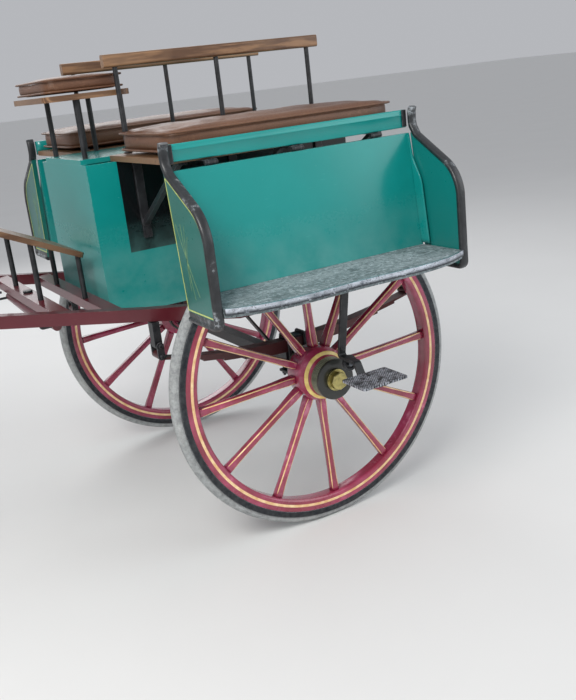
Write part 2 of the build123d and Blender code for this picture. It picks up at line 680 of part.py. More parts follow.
FOOTREST = Plane(origin=(FOOTREST_AT[0], 0, FOOTREST_AT[1]), x_dir=(cos(radians(FOOTREST_ANGLE)), 0,
                 sin(radians(FOOTREST_ANGLE))), z_dir=(-sin(radians(FOOTREST_ANGLE)), 0,
                 cos(radians(FOOTREST_ANGLE))))
with BuildPart() as driver_footrest:
    with BuildSketch(FOOTREST):
        with Locations((FOOTREST_L / 2, 0)):
            RectangleRounded(FOOTREST_L, 2 * DRIVER_HALF - 20, 20)
    extrude(amount=SEAT_T)
save(driver_footrest.part, "driver_footrest")

POST_Y = 165.0
POST_R = 9.0
with BuildPart() as seat_posts:
    with BuildSketch(Plane.XY.offset(LID_TOP)):
        for x_value in (LID_FRONT + 50, WELL_FRONT - 30):
            with Locations((x_value, POST_Y), (x_value, -POST_Y)):
                Circle(POST_R)
    extrude(amount=DRIVER_SEAT_Z - LID_TOP)

with BuildPart() as footrest_posts:
    for x_value, bar_z in ((FRONT_BAR_X + 14, FRONT_BAR_Z), (SPLINTER_X, SPLINTER_Z)):
        with BuildSketch(Plane.XY.offset(bar_z + BEARER_T / 2)):
            with Locations((x_value, POST_Y), (x_value, -POST_Y)):
                Circle(POST_R)
        extrude(amount=FOOTREST_L)
    with BuildSketch(FOOTREST):
        Rectangle(4 * FOOTREST_L, 4 * DRIVER_HALF)
    extrude(amount=2 * FOOTREST_L, mode=Mode.SUBTRACT)
save(pieces(seat_posts.part, footrest_posts.part), "driver_irons")

# ---- folding footboards -----------------------------------------------------------------------
SEAT_MID = (SEAT_FRONT + SEAT_REAR) / 2
LEAN = (PANEL_FOOT_Y - PANEL_TOP_Y) / (PANEL_TOP_Z - FOOT_Z)


def panel_y(z_value):
    """Outer face of the leaning panel at one height."""
    return PANEL_TOP_Y + (PANEL_TOP_Z - z_value) * LEAN


with BuildPart() as panel:
    with BuildSketch(end_on(SEAT_REAR)):
        with BuildLine():
            Polyline(
                (PANEL_TOP_Y, PANEL_TOP_Z), (PANEL_FOOT_Y, FOOT_Z), (PANEL_FOOT_Y - PANEL_T, FOOT_Z),
                (PANEL_TOP_Y - PANEL_T, PANEL_TOP_Z), close=True)
        make_face()
    extrude(amount=SEAT_FRONT - SEAT_REAR)
save_sides(panel.part, "footboard_panel")


def front_edge(setback):
    """Bowed front edge of the footboard in plan, set back from its middle line."""
    corner = (SEAT_FRONT - SEAT_REAR) * 0.1
    return Spline(
        (SEAT_REAR, FOOT_END_Y - setback), (SEAT_REAR + corner, FOOT_MID_Y - 14 - setback),
        (SEAT_MID, FOOT_MID_Y - setback), (SEAT_FRONT - corner, FOOT_MID_Y - 14 - setback),
        (SEAT_FRONT, FOOT_END_Y - setback))


with BuildPart() as footboard:
    with BuildSketch(Plane.XY.offset(FOOT_Z - FOOT_T)):
        with BuildLine():
            edge = front_edge(0)
            Polyline(edge @ 1, (SEAT_FRONT, PANEL_FOOT_Y - PANEL_T), (SEAT_REAR, PANEL_FOOT_Y - PANEL_T),
                     edge @ 0)
        make_face()
    extrude(amount=FOOT_T)
save_sides(footboard.part, "footboard")

with BuildPart() as nosing:
    with BuildSketch(Plane.XY.offset(FOOT_Z + 1 - NOSING_H)):
        with BuildLine():
            inside = front_edge(0)
            outside = front_edge(-NOSING_T)
            Line(inside @ 0, outside @ 0)
            Line(inside @ 1, outside @ 1)
        make_face()
    extrude(amount=NOSING_H)
save_sides(nosing.part, "footboard_nosing")

WING_SHOULDER = (WING_FRONT_Y - 60, PANEL_TOP_Z - 90)
WING_BREAK = (WING_FRONT_Y, PANEL_TOP_Z - 185)


def wing_outline(grow):
    """Side outline of a wing in (y, z): square at the panel, swept down and out to its front edge."""
    top = (PANEL_TOP_Y, PANEL_TOP_Z + grow)
    shoulder = (WING_SHOULDER[0] + grow * 0.6, WING_SHOULDER[1] + grow * 0.8)
    foot = (WING_FRONT_Y + grow, WING_BOTTOM_Z - grow)
    heel_y = panel_y(WING_BOTTOM_Z)
    upper = Line(top, shoulder)
    brow = TangentArc(shoulder, (WING_BREAK[0] + grow, WING_BREAK[1]), tangent=upper % 1)
    front = Line(brow @ 1, foot)
    base = Line(front @ 1, (heel_y, WING_BOTTOM_Z - grow))
    Line(base @ 1, top)


with BuildPart() as wings:
    for x_value, ahead in ((SEAT_FRONT, 1), (SEAT_REAR, -1)):
        with BuildSketch(end_on(x_value + ahead * (EDGING_W - WING_T) / 2)):
            with BuildLine():
                wing_outline(0)
            make_face()
        extrude(amount=ahead * WING_T)
save_sides(wings.part, "wings")

with BuildPart() as wing_edging:
    for x_value, ahead in ((SEAT_FRONT, 1), (SEAT_REAR, -1)):
        with BuildSketch(end_on(x_value)):
            with BuildLine():
                wing_outline(EDGING_D)
            make_face()
            with BuildLine():
                wing_outline(0)
            make_face(mode=Mode.SUBTRACT)
        extrude(amount=ahead * EDGING_W)
save_sides(wing_edging.part, "wing_edging")

HINGES = (SEAT_MID - HINGE_SPREAD, SEAT_MID, SEAT_MID + HINGE_SPREAD)
STRAP_LOW = PANEL_TOP_Z - 120
with BuildPart() as hinge_straps:
    for x_value in HINGES:
        with BuildSketch(end_on(x_value)):
            with BuildLine():
                Polyline(
                    (panel_y(PANEL_TOP_Z) - PANEL_T, PANEL_TOP_Z), (panel_y(STRAP_LOW) - PANEL_T, STRAP_LOW),
                    (panel_y(STRAP_LOW) - PANEL_T - LEAF_PLATE, STRAP_LOW),
                    (panel_y(PANEL_TOP_Z) - PANEL_T - LEAF_PLATE, PANEL_TOP_Z + LEAF_PLATE),
                    (HINGE_Y, PANEL_TOP_Z + LEAF_PLATE), (HINGE_Y, PANEL_TOP_Z), close=True)
            make_face()
            with Locations((HINGE_Y, HINGE_Z)):
                Circle(KNUCKLE_R)
                Circle(HINGE_PIN_R + HINGE_FIT, mode=Mode.SUBTRACT)
        extrude(amount=KNUCKLE_L / 2, both=True)
save_sides(hinge_straps.part, "hinge_straps")

STEP_TOP_Y = 806.0
STEP_ELBOW = (741.0, 84.0)
PAD_HALF = (30.0, 32.0)  # plate bolted under the footboard, along and across
PAD_T = 7.0
with BuildPart() as step_iron:
    with BuildLine(end_on(STEP_X)) as step_path:
        FilletPolyline(
            (STEP_TOP_Y, FOOT_Z - FOOT_T), STEP_ELBOW, (STEP_ELBOW[0] + 86, STEP_ELBOW[1] - 2),
            (STEP_IN_Y - 8, STEP_Z - STEP_BAR_T / 2), (STEP_OUT_Y - 16, STEP_Z - STEP_BAR_T / 2), radius=11)
    with BuildSketch(Plane(origin=step_path.line @ 0, x_dir=(1, 0, 0), z_dir=step_path.line % 0)):
        Rectangle(STEP_BAR_W, STEP_BAR_T)
    sweep(path=step_path.line)
    slab((STEP_X - PAD_HALF[0], STEP_X + PAD_HALF[0]), (STEP_TOP_Y - PAD_HALF[1], STEP_TOP_Y + PAD_HALF[1]),
         (FOOT_Z - FOOT_T - PAD_T, FOOT_Z - FOOT_T))
    with Locations((STEP_X, STEP_TOP_Y, FOOT_Z)):
        Box(2 * STEP_BAR_W, 4 * STEP_BAR_W, 2 * FOOT_T, mode=Mode.SUBTRACT)
save_sides(step_iron.part, "step_iron")

with BuildPart() as step_tread:
    slab((STEP_X - STEP_L / 2, STEP_X + STEP_L / 2), (STEP_IN_Y, STEP_OUT_Y), (STEP_Z, STEP_Z + STEP_T))
    fillet(step_tread.edges().filter_by(Axis.Z), 8)
save_sides(step_tread.part, "step_tread")

# ---- pivots, swingletree and props --------------------------------------------------------------
LID_PIVOT = (WELL_REAR - 8, LID_TOP - 4)
LID_HINGES = (-120.0, 120.0)
STRAP_DROP = 50.0        # lid hinge plate on the back of the well
STRAP_REACH = 48.0       # and on the lid
with BuildPart() as hinge_leaves:
    for x_value in HINGES:
        for offset in (-KNUCKLE_L, KNUCKLE_L):
            middle = x_value + offset * 0.75 + (JOIN if offset > 0 else -JOIN)
            with BuildSketch(end_on(middle)):
                with Locations((HINGE_Y, HINGE_Z)):
                    Circle(KNUCKLE_R)
                with Locations(((HINGE_Y + RAIL_Y - 8) / 2, WELL_TOP - LEAF_PLATE / 2)):
                    Rectangle(HINGE_Y - RAIL_Y + 8, LEAF_PLATE)
                with Locations((HINGE_Y, HINGE_Z)):
                    Circle(HINGE_PIN_R, mode=Mode.SUBTRACT)
            extrude(amount=KNUCKLE_L / 4, both=True)
        slab((x_value - KNUCKLE_L - JOIN, x_value + KNUCKLE_L + JOIN), (RAIL_Y - 50, RAIL_Y - 4),
             (WELL_TOP - LEAF_PLATE, WELL_TOP))
    mirror(about=Plane.XZ)

with BuildPart() as hinge_pins:
    for x_value in HINGES:
        with BuildSketch(end_on(x_value)):
            with Locations((HINGE_Y, HINGE_Z)):
                Circle(HINGE_PIN_R)
        extrude(amount=KNUCKLE_L + JOIN, both=True)
    mirror(about=Plane.XZ)

with BuildPart() as lid_leaves:
    for y_value in LID_HINGES:
        for offset in (-KNUCKLE_L, KNUCKLE_L):
            middle = y_value + offset * 0.75 + (JOIN if offset > 0 else -JOIN)
            with BuildSketch(across(middle)):
                with Locations(LID_PIVOT):
                    Circle(LID_KNUCKLE_R)
                with Locations((WELL_REAR - LEAF_PLATE / 2, LID_PIVOT[1] - STRAP_DROP / 2)):
                    Rectangle(LEAF_PLATE, STRAP_DROP)
                with Locations((LID_PIVOT[0] + 4, LID_PIVOT[1] - 3.5)):
                    Rectangle(8, 3)
                with Locations(LID_PIVOT):
                    Circle(HINGE_PIN_R, mode=Mode.SUBTRACT)
            extrude(amount=KNUCKLE_L / 4, both=True)

with BuildPart() as lid_pins:
    for y_value in LID_HINGES:
        with BuildSketch(across(y_value)):
            with Locations(LID_PIVOT):
                Circle(HINGE_PIN_R)
        extrude(amount=KNUCKLE_L + JOIN, both=True)

TREE_TOP = SPLINTER_Z - BEARER_T / 2 - TREE_DROP
TREE_Z = TREE_TOP - TREE_MID_R
TREE_NUT = TREE_Z - TREE_MID_R - JOIN
with BuildPart() as tree_pin:
    with Locations((SPLINTER_X, 0, (SPLINTER_Z + BEARER_T / 2 + TREE_NUT - 14) / 2)):
        Cylinder(TREE_PIN_R, SPLINTER_Z + BEARER_T / 2 - TREE_NUT + 14)
    with Locations((SPLINTER_X, 0, SPLINTER_Z + BEARER_T / 2 + 4)):
        Cylinder(TREE_NUT_R, 8)
    with Locations((SPLINTER_X, 0, TREE_TOP + TREE_DROP / 2)):
        Cylinder(TREE_COLLAR_R, TREE_DROP)
    with Locations((SPLINTER_X, 0, TREE_NUT - 5)):
        Cylinder(TREE_NUT_R, 10)

PROP_PIVOT_Z = shaft_underside(PROP_X) - PROP_DROP
PROP_PIVOT_Y = on_shaft(PROP_X)[1]
LUG_Y = PROP_R + 1.0
with BuildPart() as prop_lugs:
    for offset in (-LUG_Y - LUG_T, LUG_Y):
        with BuildSketch(across(PROP_PIVOT_Y + offset)):
            with Locations((PROP_X, PROP_PIVOT_Z)):
                Circle(13)
            with Locations((PROP_X, PROP_PIVOT_Z + PROP_DROP / 2 + 2)):
                Rectangle(26, PROP_DROP + 4)
            with Locations((PROP_X, PROP_PIVOT_Z)):
                Circle(PROP_PIN_R, mode=Mode.SUBTRACT)
        extrude(amount=-LUG_T)
    add(shaft.part, mode=Mode.SUBTRACT)
    mirror(about=Plane.XZ)

with BuildPart() as prop_pins:
    with BuildSketch(across(PROP_PIVOT_Y)):
        with Locations((PROP_X, PROP_PIVOT_Z)):
            Circle(PROP_PIN_R)
    extrude(amount=LUG_Y + LUG_T + 4, both=True)
    mirror(about=Plane.XZ)
save(pieces(hinge_leaves.part, hinge_pins.part, lid_leaves.part, lid_pins.part, tree_pin.part,
            prop_lugs.part, prop_pins.part), "pivots")

with BuildPart() as well_lid:
    slab((WELL_REAR, LID_FRONT), (-LID_HALF, LID_HALF), (WELL_TOP, LID_TOP))
    for y_value in LID_HINGES:
        with BuildSketch(across(y_value)):
            with Locations(LID_PIVOT):
                Circle(LID_KNUCKLE_R)
            with Locations((LID_PIVOT[0] + STRAP_REACH / 2, LID_TOP + LEAF_PLATE / 2)):
                Rectangle(STRAP_REACH, LEAF_PLATE)
        extrude(amount=KNUCKLE_L / 2, both=True)
        with BuildSketch(across(y_value)):
            with Locations(LID_PIVOT):
                Circle(HINGE_PIN_R + HINGE_FIT)
        extrude(amount=KNUCKLE_L, both=True, mode=Mode.SUBTRACT)
save(well_lid.part, "well_lid")

with BuildPart() as swingletree:
    with BuildSketch(Plane.XY.offset(TREE_Z)):
        with BuildLine():
            Polyline(
                (SPLINTER_X, -TREE_HALF), (SPLINTER_X + TREE_END_R, -TREE_HALF),
                (SPLINTER_X + TREE_MID_R, -40), (SPLINTER_X + TREE_MID_R, 40),
                (SPLINTER_X + TREE_END_R, TREE_HALF), (SPLINTER_X, TREE_HALF), close=True)
        make_face()
    revolve(axis=Axis((SPLINTER_X, 0, TREE_Z), (0, 1, 0)))
    with Locations((SPLINTER_X, 0, TREE_Z)):
        Cylinder(TREE_PIN_R + ARM_FIT, 3 * TREE_MID_R, mode=Mode.SUBTRACT)
save(swingletree.part, "swingletree")

HOOK_Y = TREE_HALF - 16
HOOK_START = SPLINTER_X + TREE_END_R - 1
with BuildPart() as tree_hooks:
    for y_value in (-HOOK_Y, HOOK_Y):
        with BuildLine() as hook_path:
            FilletPolyline(
                (HOOK_START, y_value, TREE_Z), (HOOK_START + HOOK_REACH, y_value, TREE_Z),
                (HOOK_START + HOOK_REACH, y_value, TREE_Z + HOOK_RISE),
                (HOOK_START + HOOK_REACH - HOOK_RETURN, y_value, TREE_Z + HOOK_RISE), radius=8)
        with BuildSketch(Plane(origin=hook_path.line @ 0, x_dir=(0, 1, 0), z_dir=(1, 0, 0))):
            Circle(HOOK_R)
        sweep(path=hook_path.line)
    add(swingletree.part, mode=Mode.SUBTRACT)
save(tree_hooks.part, "swingletree_hooks")

LEAN_DIR = (sin(radians(PROP_LEAN)), 0, -cos(radians(PROP_LEAN)))
PROP_L = (PROP_PIVOT_Z + WHEEL_R) / cos(radians(PROP_LEAN))
with BuildPart() as prop:
    with BuildSketch(Plane(origin=(PROP_X, PROP_PIVOT_Y, PROP_PIVOT_Z), x_dir=(0, 1, 0), z_dir=LEAN_DIR)):
        Circle(PROP_R)
    extrude(amount=PROP_L + PROP_R)
    with Locations((PROP_X, PROP_PIVOT_Y, PROP_PIVOT_Z)):
        Sphere(PROP_R)
    with BuildSketch(across(PROP_PIVOT_Y)):
        with Locations((PROP_X, PROP_PIVOT_Z)):
            Circle(PROP_PIN_R + HINGE_FIT)
    extrude(amount=2 * PROP_R, both=True, mode=Mode.SUBTRACT)
    with Locations((PROP_X, PROP_PIVOT_Y, -WHEEL_R - PROP_L / 2)):
        Box(PROP_L, 4 * PROP_R, PROP_L, mode=Mode.SUBTRACT)
save_sides(prop.part, "prop_stick")
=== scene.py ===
import json
import math

import bpy
import numpy as np
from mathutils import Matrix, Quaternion, Vector

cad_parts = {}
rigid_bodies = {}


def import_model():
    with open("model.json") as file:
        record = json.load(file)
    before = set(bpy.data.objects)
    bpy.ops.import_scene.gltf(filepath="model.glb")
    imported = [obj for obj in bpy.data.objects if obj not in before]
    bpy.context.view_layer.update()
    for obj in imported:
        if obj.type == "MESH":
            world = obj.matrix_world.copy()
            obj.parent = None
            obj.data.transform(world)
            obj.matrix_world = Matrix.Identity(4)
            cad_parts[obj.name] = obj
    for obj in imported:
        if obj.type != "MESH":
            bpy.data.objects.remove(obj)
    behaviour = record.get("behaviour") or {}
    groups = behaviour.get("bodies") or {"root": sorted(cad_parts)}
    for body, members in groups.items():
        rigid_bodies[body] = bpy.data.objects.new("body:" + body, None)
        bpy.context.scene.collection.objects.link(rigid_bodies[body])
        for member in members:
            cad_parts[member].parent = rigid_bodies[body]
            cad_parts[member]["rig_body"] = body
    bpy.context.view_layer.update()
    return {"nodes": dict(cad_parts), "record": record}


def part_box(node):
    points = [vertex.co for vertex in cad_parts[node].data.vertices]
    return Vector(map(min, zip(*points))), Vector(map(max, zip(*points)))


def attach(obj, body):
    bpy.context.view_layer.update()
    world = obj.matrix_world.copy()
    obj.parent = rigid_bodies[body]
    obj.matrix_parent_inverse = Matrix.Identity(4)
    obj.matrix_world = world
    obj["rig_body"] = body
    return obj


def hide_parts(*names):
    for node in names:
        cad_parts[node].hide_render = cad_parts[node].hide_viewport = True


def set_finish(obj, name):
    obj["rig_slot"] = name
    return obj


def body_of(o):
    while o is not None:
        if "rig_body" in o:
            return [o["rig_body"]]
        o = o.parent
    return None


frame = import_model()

bl_info = {
    "name": "Side car",
    "version": (1, 0, 0),
    "blender": (4, 5, 0),
    "location": "View3D > Sidebar > Side car",
    "description": "Builds the painted, leather and iron surfaces of a two-wheeled side car",
    "category": "Object",
}

SIDES = (("left", 1), ("right", -1))


def half_size(node, axis):
    """Half the size of a CAD node along one axis."""
    low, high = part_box(node)
    return (high[axis] - low[axis]) / 2


AXLE = (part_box("axle")[0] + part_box("axle")[1]) / 2
WHEEL_Y = (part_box("left_felloes")[0].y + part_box("left_felloes")[1].y) / 2
RIM_HALF = half_size("left_felloes", 1)
TYRE_R = half_size("left_rubber_tyre", 0)
CHANNEL_R = half_size("left_tyre_channel", 0)
FELLOE_R = half_size("left_felloes", 0)
FELLOE_DEPTH = 0.042
NAVE_R = half_size("left_nave", 0)
SPOKES = 12
SPOKE_PHASE = math.radians(2.7)
NAVE_BORE, NAVE_BACK, NAVE_FRONT = 0.034, -0.080, 0.114
COLLAR_BACK, COLLAR_FRONT, COLLAR_RIBS = 0.078, 0.111, 5
PIN_IN, PIN_UP = 0.004, 0.0085      # footboard hinge pin, inward of the wings and over their tops
FOLDED = math.radians(170.0)


# ---- shader maths ----------------------------------------------------------------------------
class Link:
    """One socket of a material, so that arithmetic on it adds the Math nodes that work it out."""

    def __init__(self, paint, socket):
        self.paint = paint
        self.socket = socket

    def math(self, operation, *others, clamp=False):
        """A Math node of this socket and up to two more values."""
        return self.paint.node("ShaderNodeMath", {"operation": operation, "use_clamp": clamp}, self, *others)

    def __add__(self, other):
        return self.math("ADD", other)

    __radd__ = __add__

    def __mul__(self, other):
        return self.math("MULTIPLY", other)

    __rmul__ = __mul__

    def __sub__(self, other):
        return self.math("SUBTRACT", other)

    def __rsub__(self, other):
        return self.paint.node("ShaderNodeMath", {"operation": "SUBTRACT"}, other, self)

    def __truediv__(self, other):
        return self.math("DIVIDE", other)

    def __gt__(self, other):
        return self.math("GREATER_THAN", other)

    def __lt__(self, other):
        return self.math("LESS_THAN", other)

    def clip(self):
        """This value held between 0 and 1."""
        return self.math("ADD", 0.0, clamp=True)

    def ramp(self, low, high):
        """0 at low, 1 at high and a straight line between."""
        return ((self - low) * (1.0 / (high - low))).clip()


class Paint:
    """One material being made: its nodes, and the shader that they end in."""

    def __init__(self, name, roughness=0.5, metallic=0.0, coat=0.0, coat_roughness=0.1):
        self.material = bpy.data.materials.new(name)
        self.material.use_nodes = True
        self.tree = self.material.node_tree
        self.shader = next(n for n in self.tree.nodes if n.type == "BSDF_PRINCIPLED")
        self.shader.inputs["Roughness"].default_value = roughness
        self.shader.inputs["Metallic"].default_value = metallic
        self.shader.inputs["Coat Weight"].default_value = coat
        self.shader.inputs["Coat Roughness"].default_value = coat_roughness

    def node(self, kind, settings, *values, out=0, **named):
        """Any node: its type, its settings, and its sockets in order or by name."""
        made = self.tree.nodes.new(kind)
        for key, value in settings.items():
            setattr(made, key, value)
        sockets = [s for s in made.inputs if s.enabled]
        for socket, value in list(zip(sockets, values)) + [(made.inputs[k], v) for k, v in named.items()]:
            self.feed(socket, value)
        outs = [s for s in made.outputs if s.enabled]
        return Link(self, made.outputs[out] if isinstance(out, str) else outs[out])

    def feed(self, socket, value):
        """Link a socket, or set its constant."""
        if isinstance(value, Link):
            self.tree.links.new(value.socket, socket)
        elif isinstance(value, (tuple, list)) and len(socket.default_value) == 4:
            socket.default_value = (*value[:3], 1.0)
        else:
            socket.default_value = value

    def place(self):
        """Object coordinates, in metres."""
        return self.node("ShaderNodeTexCoord", {}, out="Object")

    def axes(self):
        """The three Object coordinates as numbers."""
        split = self.node("ShaderNodeSeparateXYZ", {}, self.place(), out="X")
        node = split.socket.node
        return split, Link(self, node.outputs["Y"]), Link(self, node.outputs["Z"])

    def stretched(self, x=1.0, y=1.0, z=1.0):
        """Object coordinates scaled along each axis, so that a pattern runs along the least of them."""
        return self.node("ShaderNodeMapping", {}, self.place(), Scale=(x, y, z))

    def noise(self, scale, detail=4.0, rough=0.55, at=None):
        """Even-sized mottling from 0 to 1."""
        return self.node("ShaderNodeTexNoise", {}, out="Fac", Vector=at or self.place(), Scale=scale,
                         Detail=detail, Roughness=rough)

    def cells(self, scale, feature="F1"):
        """Distance in a field of cells."""
        return self.node("ShaderNodeTexVoronoi", {"feature": feature}, out="Distance", Vector=self.place(),
                         Scale=scale)

    def mix(self, share, first, second):
        """From the first colour to the second."""
        return self.node("ShaderNodeMix", {"data_type": "RGBA"}, share, first, second)

    def worn_edges(self, radius=0.003):
        """Where the surface turns sharply, from 0 on the flat to 1 on an outer or inner edge."""
        soft = self.node("ShaderNodeBevel", {"samples": 4}, Radius=radius)
        plain = self.node("ShaderNodeNewGeometry", {}, out="Normal")
        turn = self.node("ShaderNodeVectorMath", {"operation": "DOT_PRODUCT"}, soft, plain, out="Value")
        return (1.0 - turn).ramp(0.02, 0.22)

    def finish(self, colour, roughness=None, metallic=None, height=None, depth=0.001, edge=0.0015):
        """Feed the shader, with eased edges and a bump of the given depth in metres."""
        self.feed(self.shader.inputs["Base Color"], colour)
        if roughness is not None:
            self.feed(self.shader.inputs["Roughness"], roughness)
        if metallic is not None:
            self.feed(self.shader.inputs["Metallic"], metallic)
        normal = None
        if edge:
            normal = self.node("ShaderNodeBevel", {"samples": 4}, Radius=edge)
        if height is not None:
            bump = {"Height": height, "Distance": depth, "Strength": 1.0}
            if normal is not None:
                bump["Normal"] = normal
            normal = self.node("ShaderNodeBump", {}, **bump)
        if normal is not None:
            self.feed(self.shader.inputs["Normal"], normal)
        return self.material


# ---- finishes --------------------------------------------------------------------------------
def chosen(name):
    """A colour from the paint settings."""
    return tuple(getattr(bpy.context.scene.sidecar_paints, name))


def coach_paint(name, colour, worn, dusty=(0.55, 0.58, 0.52), dust_low=0.0, dust_high=0.3, dust=0.35,
                gloss=0.28, coat=0.35, scratches=0.25, shade=0.7, rub=0.5, over=None):
    """Brushed coach paint: slow shifts of shade, fine scratches, dust toward the foot and worn edges."""
    paint = Paint(name, roughness=gloss, coat=coat, coat_roughness=0.12)
    _, _, height = paint.axes()
    cloud = paint.noise(5.0, 3.0)
    fine = paint.noise(90.0, 4.0)
    deep = tuple(c * shade for c in colour)
    light = tuple(min(1.0, c * (1.1 + (1.0 - shade) * 0.5) + 0.008) for c in colour)
    base = paint.mix(cloud.ramp(0.3, 0.7), deep, colour)
    base = paint.mix(paint.noise(1.7, 2.0).ramp(0.45, 0.75) * 0.6, base, light)
    strokes = paint.noise(26.0, 3.0, at=paint.stretched(1.0, 1.0, 9.0))
    cuts = strokes.ramp(0.66, 0.7) * paint.noise(7.0).ramp(0.5, 0.62) * scratches
    base = paint.mix(cuts, base, tuple(min(1.0, c * 1.4 + 0.08) for c in colour))
    if over is not None:
        base = over(paint, base)
    drift = paint.noise(14.0, 6.0)
    settle = (1.0 - height.ramp(dust_low, dust_high)) * drift.ramp(0.25, 0.85) * dust
    base = paint.mix(settle, base, dusty)
    bare = paint.worn_edges(0.0022) * fine.ramp(0.45, 0.62) * cloud.ramp(0.4, 0.6)
    base = paint.mix(bare * rub, base, worn)
    rough = fine * 0.10 + (gloss - 0.06) + settle * 0.5 + bare * 0.3
    grain = fine * 0.3 + strokes * 0.7
    return paint.finish(base, roughness=rough, height=grain, depth=0.0001)


def painted_pink_highlights(paint, base):
    """Painted highlight: crimson lightened toward pink in long soft patches, standing in for the sheen of the
    glossy paint.
    """
    patch = paint.noise(9.0, 4.0)
    streak = paint.noise(38.0, 5.0)
    highlight_patches = patch.ramp(0.42, 0.66) * (streak.ramp(0.3, 0.7) * 0.5 + 0.5)
    # painted highlight: pale pink laid over the crimson in soft patches
    base = paint.mix(highlight_patches * 0.75, base, (0.56, 0.075, 0.19))
    # painted highlight: a brighter pink at the cores of the patches
    return paint.mix(patch.ramp(0.60, 0.70) * streak.ramp(0.5, 0.6) * 0.5, base, (0.72, 0.30, 0.42))


def crimson_paint():
    """Crimson wheel paint, with painted pink highlights in soft patches."""
    return coach_paint("crimson_paint", chosen("crimson"), (0.62, 0.30, 0.36), dusty=(0.42, 0.10, 0.17),
                       dust_low=0.0, dust_high=0.9, dust=0.35, gloss=0.20, coat=1.0, scratches=0.15, rub=0.8,
                       over=painted_pink_highlights)


def painted_shade_under_seats(paint, base):
    """Painted shade: the boards of the well just under the seats, darkened to near black where the seats'
    shadow falls.
    """
    x, y, z = paint.axes()
    low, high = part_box("seat_boards")
    aside = y.math("ABSOLUTE")
    inside = (x < high.x - 0.004) * (x > low.x - 0.08) * (z < low.z) * (z > low.z - 0.30)
    # painted shade: near black on the well's long sides, just under the seats
    return paint.mix(inside * (aside > 0.235) * (aside < 0.27), base, (0.004, 0.005, 0.006))


def teal_paint():
    """Blue-green coach paint with a dusty foot and painted shade under the seats."""
    return coach_paint("teal_paint", chosen("teal"), (0.36, 0.54, 0.50), dusty=(0.13, 0.37, 0.35),
                       dust_low=0.90, dust_high=1.10, dust=0.75, gloss=0.26, coat=0.25, scratches=0.25,
                       shade=0.9, rub=0.7, over=painted_shade_under_seats)


def inner_faces(paint, base):
    """The faces that look toward the middle of the seats take the teal of the panel."""
    x, _, _ = paint.axes()
    low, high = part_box("left_wings")
    facing = paint.node("ShaderNodeNewGeometry", {}, out="Normal")
    sideways = paint.node("ShaderNodeSeparateXYZ", {}, facing, out="X")
    inward = (x - (low.x + high.x) / 2) * sideways < -0.1
    return paint.mix(inward * 0.85, base, (0.004, 0.205, 0.190))


def green_paint():
    """Dark green wing paint, teal on the inner faces."""
    return coach_paint("dark_green_paint", chosen("green"), (0.26, 0.38, 0.33), dusty=(0.05, 0.17, 0.15),
                       dust_low=0.85, dust_high=1.1, dust=0.5, gloss=0.3, coat=0.2, scratches=0.25, shade=0.75,
                       over=inner_faces)


def dark_red_paint():
    """Dark red shaft paint, rubbed to a pale edge."""
    return coach_paint("dark_red_paint", chosen("dark_red"), (0.46, 0.32, 0.27), dusty=(0.24, 0.12, 0.11),
                       dust_low=0.4, dust_high=1.0, dust=0.3, gloss=0.34, coat=0.25, scratches=0.25, rub=0.8)


def spring_paint():
    """Red-brown spring paint with rust along the edges of the leaves."""
    return coach_paint("spring_paint", (0.085, 0.016, 0.018), (0.24, 0.12, 0.09), dusty=(0.20, 0.11, 0.10),
                       dust_low=0.4, dust_high=0.8, dust=0.5, gloss=0.42, coat=0.1, scratches=0.2, rub=0.7)


def line_paint(name, colour, shade):
    """Thin lining paint: its colour mixed in noisy patches with a painted-shade copy of it."""
    paint = Paint(name, roughness=0.35, coat=0.3)
    shade_patches = paint.noise(45.0, 4.0)
    # painted shade: the second colour is how the line looks in shadow
    base = paint.mix(shade_patches.ramp(0.35, 0.7), shade, colour)
    return paint.finish(base, roughness=shade_patches * 0.2 + 0.28, edge=0.0)


def grey_rubber():
    """Weathered solid rubber: pale bloom, scuffs round the crown and fine cracks."""
    paint = Paint("grey_rubber", roughness=0.75)
    scuff = paint.noise(60.0, 8.0, 0.7)
    patch = paint.noise(6.0, 4.0)
    cracks = paint.cells(140.0, "DISTANCE_TO_EDGE").ramp(0.0, 0.06)
    base = paint.mix(scuff.ramp(0.3, 0.7), (0.20, 0.21, 0.212), (0.48, 0.50, 0.50))
    base = paint.mix(patch.ramp(0.5, 0.75) * 0.5, base, (0.58, 0.59, 0.575))
    base = paint.mix((1.0 - cracks) * patch * 0.5, base, (0.06, 0.062, 0.065))
    return paint.finish(base, roughness=scuff * 0.25 + 0.6, height=scuff * 0.6 + cracks * 0.4, depth=0.0006,
                        edge=0.002)


def worn_board():
    """Painted boards trodden to grey: grain along the board, pale scuffs and green left in the grain."""
    paint = Paint("worn_board", roughness=0.62)
    along = paint.stretched(0.08, 1.0, 1.0)
    grain = paint.noise(120.0, 6.0, 0.65, at=along)
    patch = paint.noise(9.0, 5.0, 0.6, at=paint.stretched(0.5, 1.0, 1.0))
    specks = paint.noise(160.0, 3.0)
    grit = paint.noise(75.0, 8.0, 0.75)
    base = paint.mix(grain.ramp(0.36, 0.64) * 0.6 + 0.2, (0.085, 0.115, 0.120), (0.27, 0.325, 0.34))
    base = paint.mix(patch.ramp(0.46, 0.60) * 0.5, base, (0.34, 0.39, 0.41))
    base = paint.mix(grit.ramp(0.50, 0.60) * 0.75, base, (0.50, 0.57, 0.61))
    base = paint.mix(specks.ramp(0.57, 0.66) * 0.8, base, (0.035, 0.048, 0.053))
    base = paint.mix(paint.noise(22.0, 5.0).ramp(0.56, 0.66) * 0.55, base, (0.045, 0.065, 0.068))
    return paint.finish(base, roughness=grit * 0.3 + 0.45, height=grain * 0.4 + grit * 0.6, depth=0.0014)


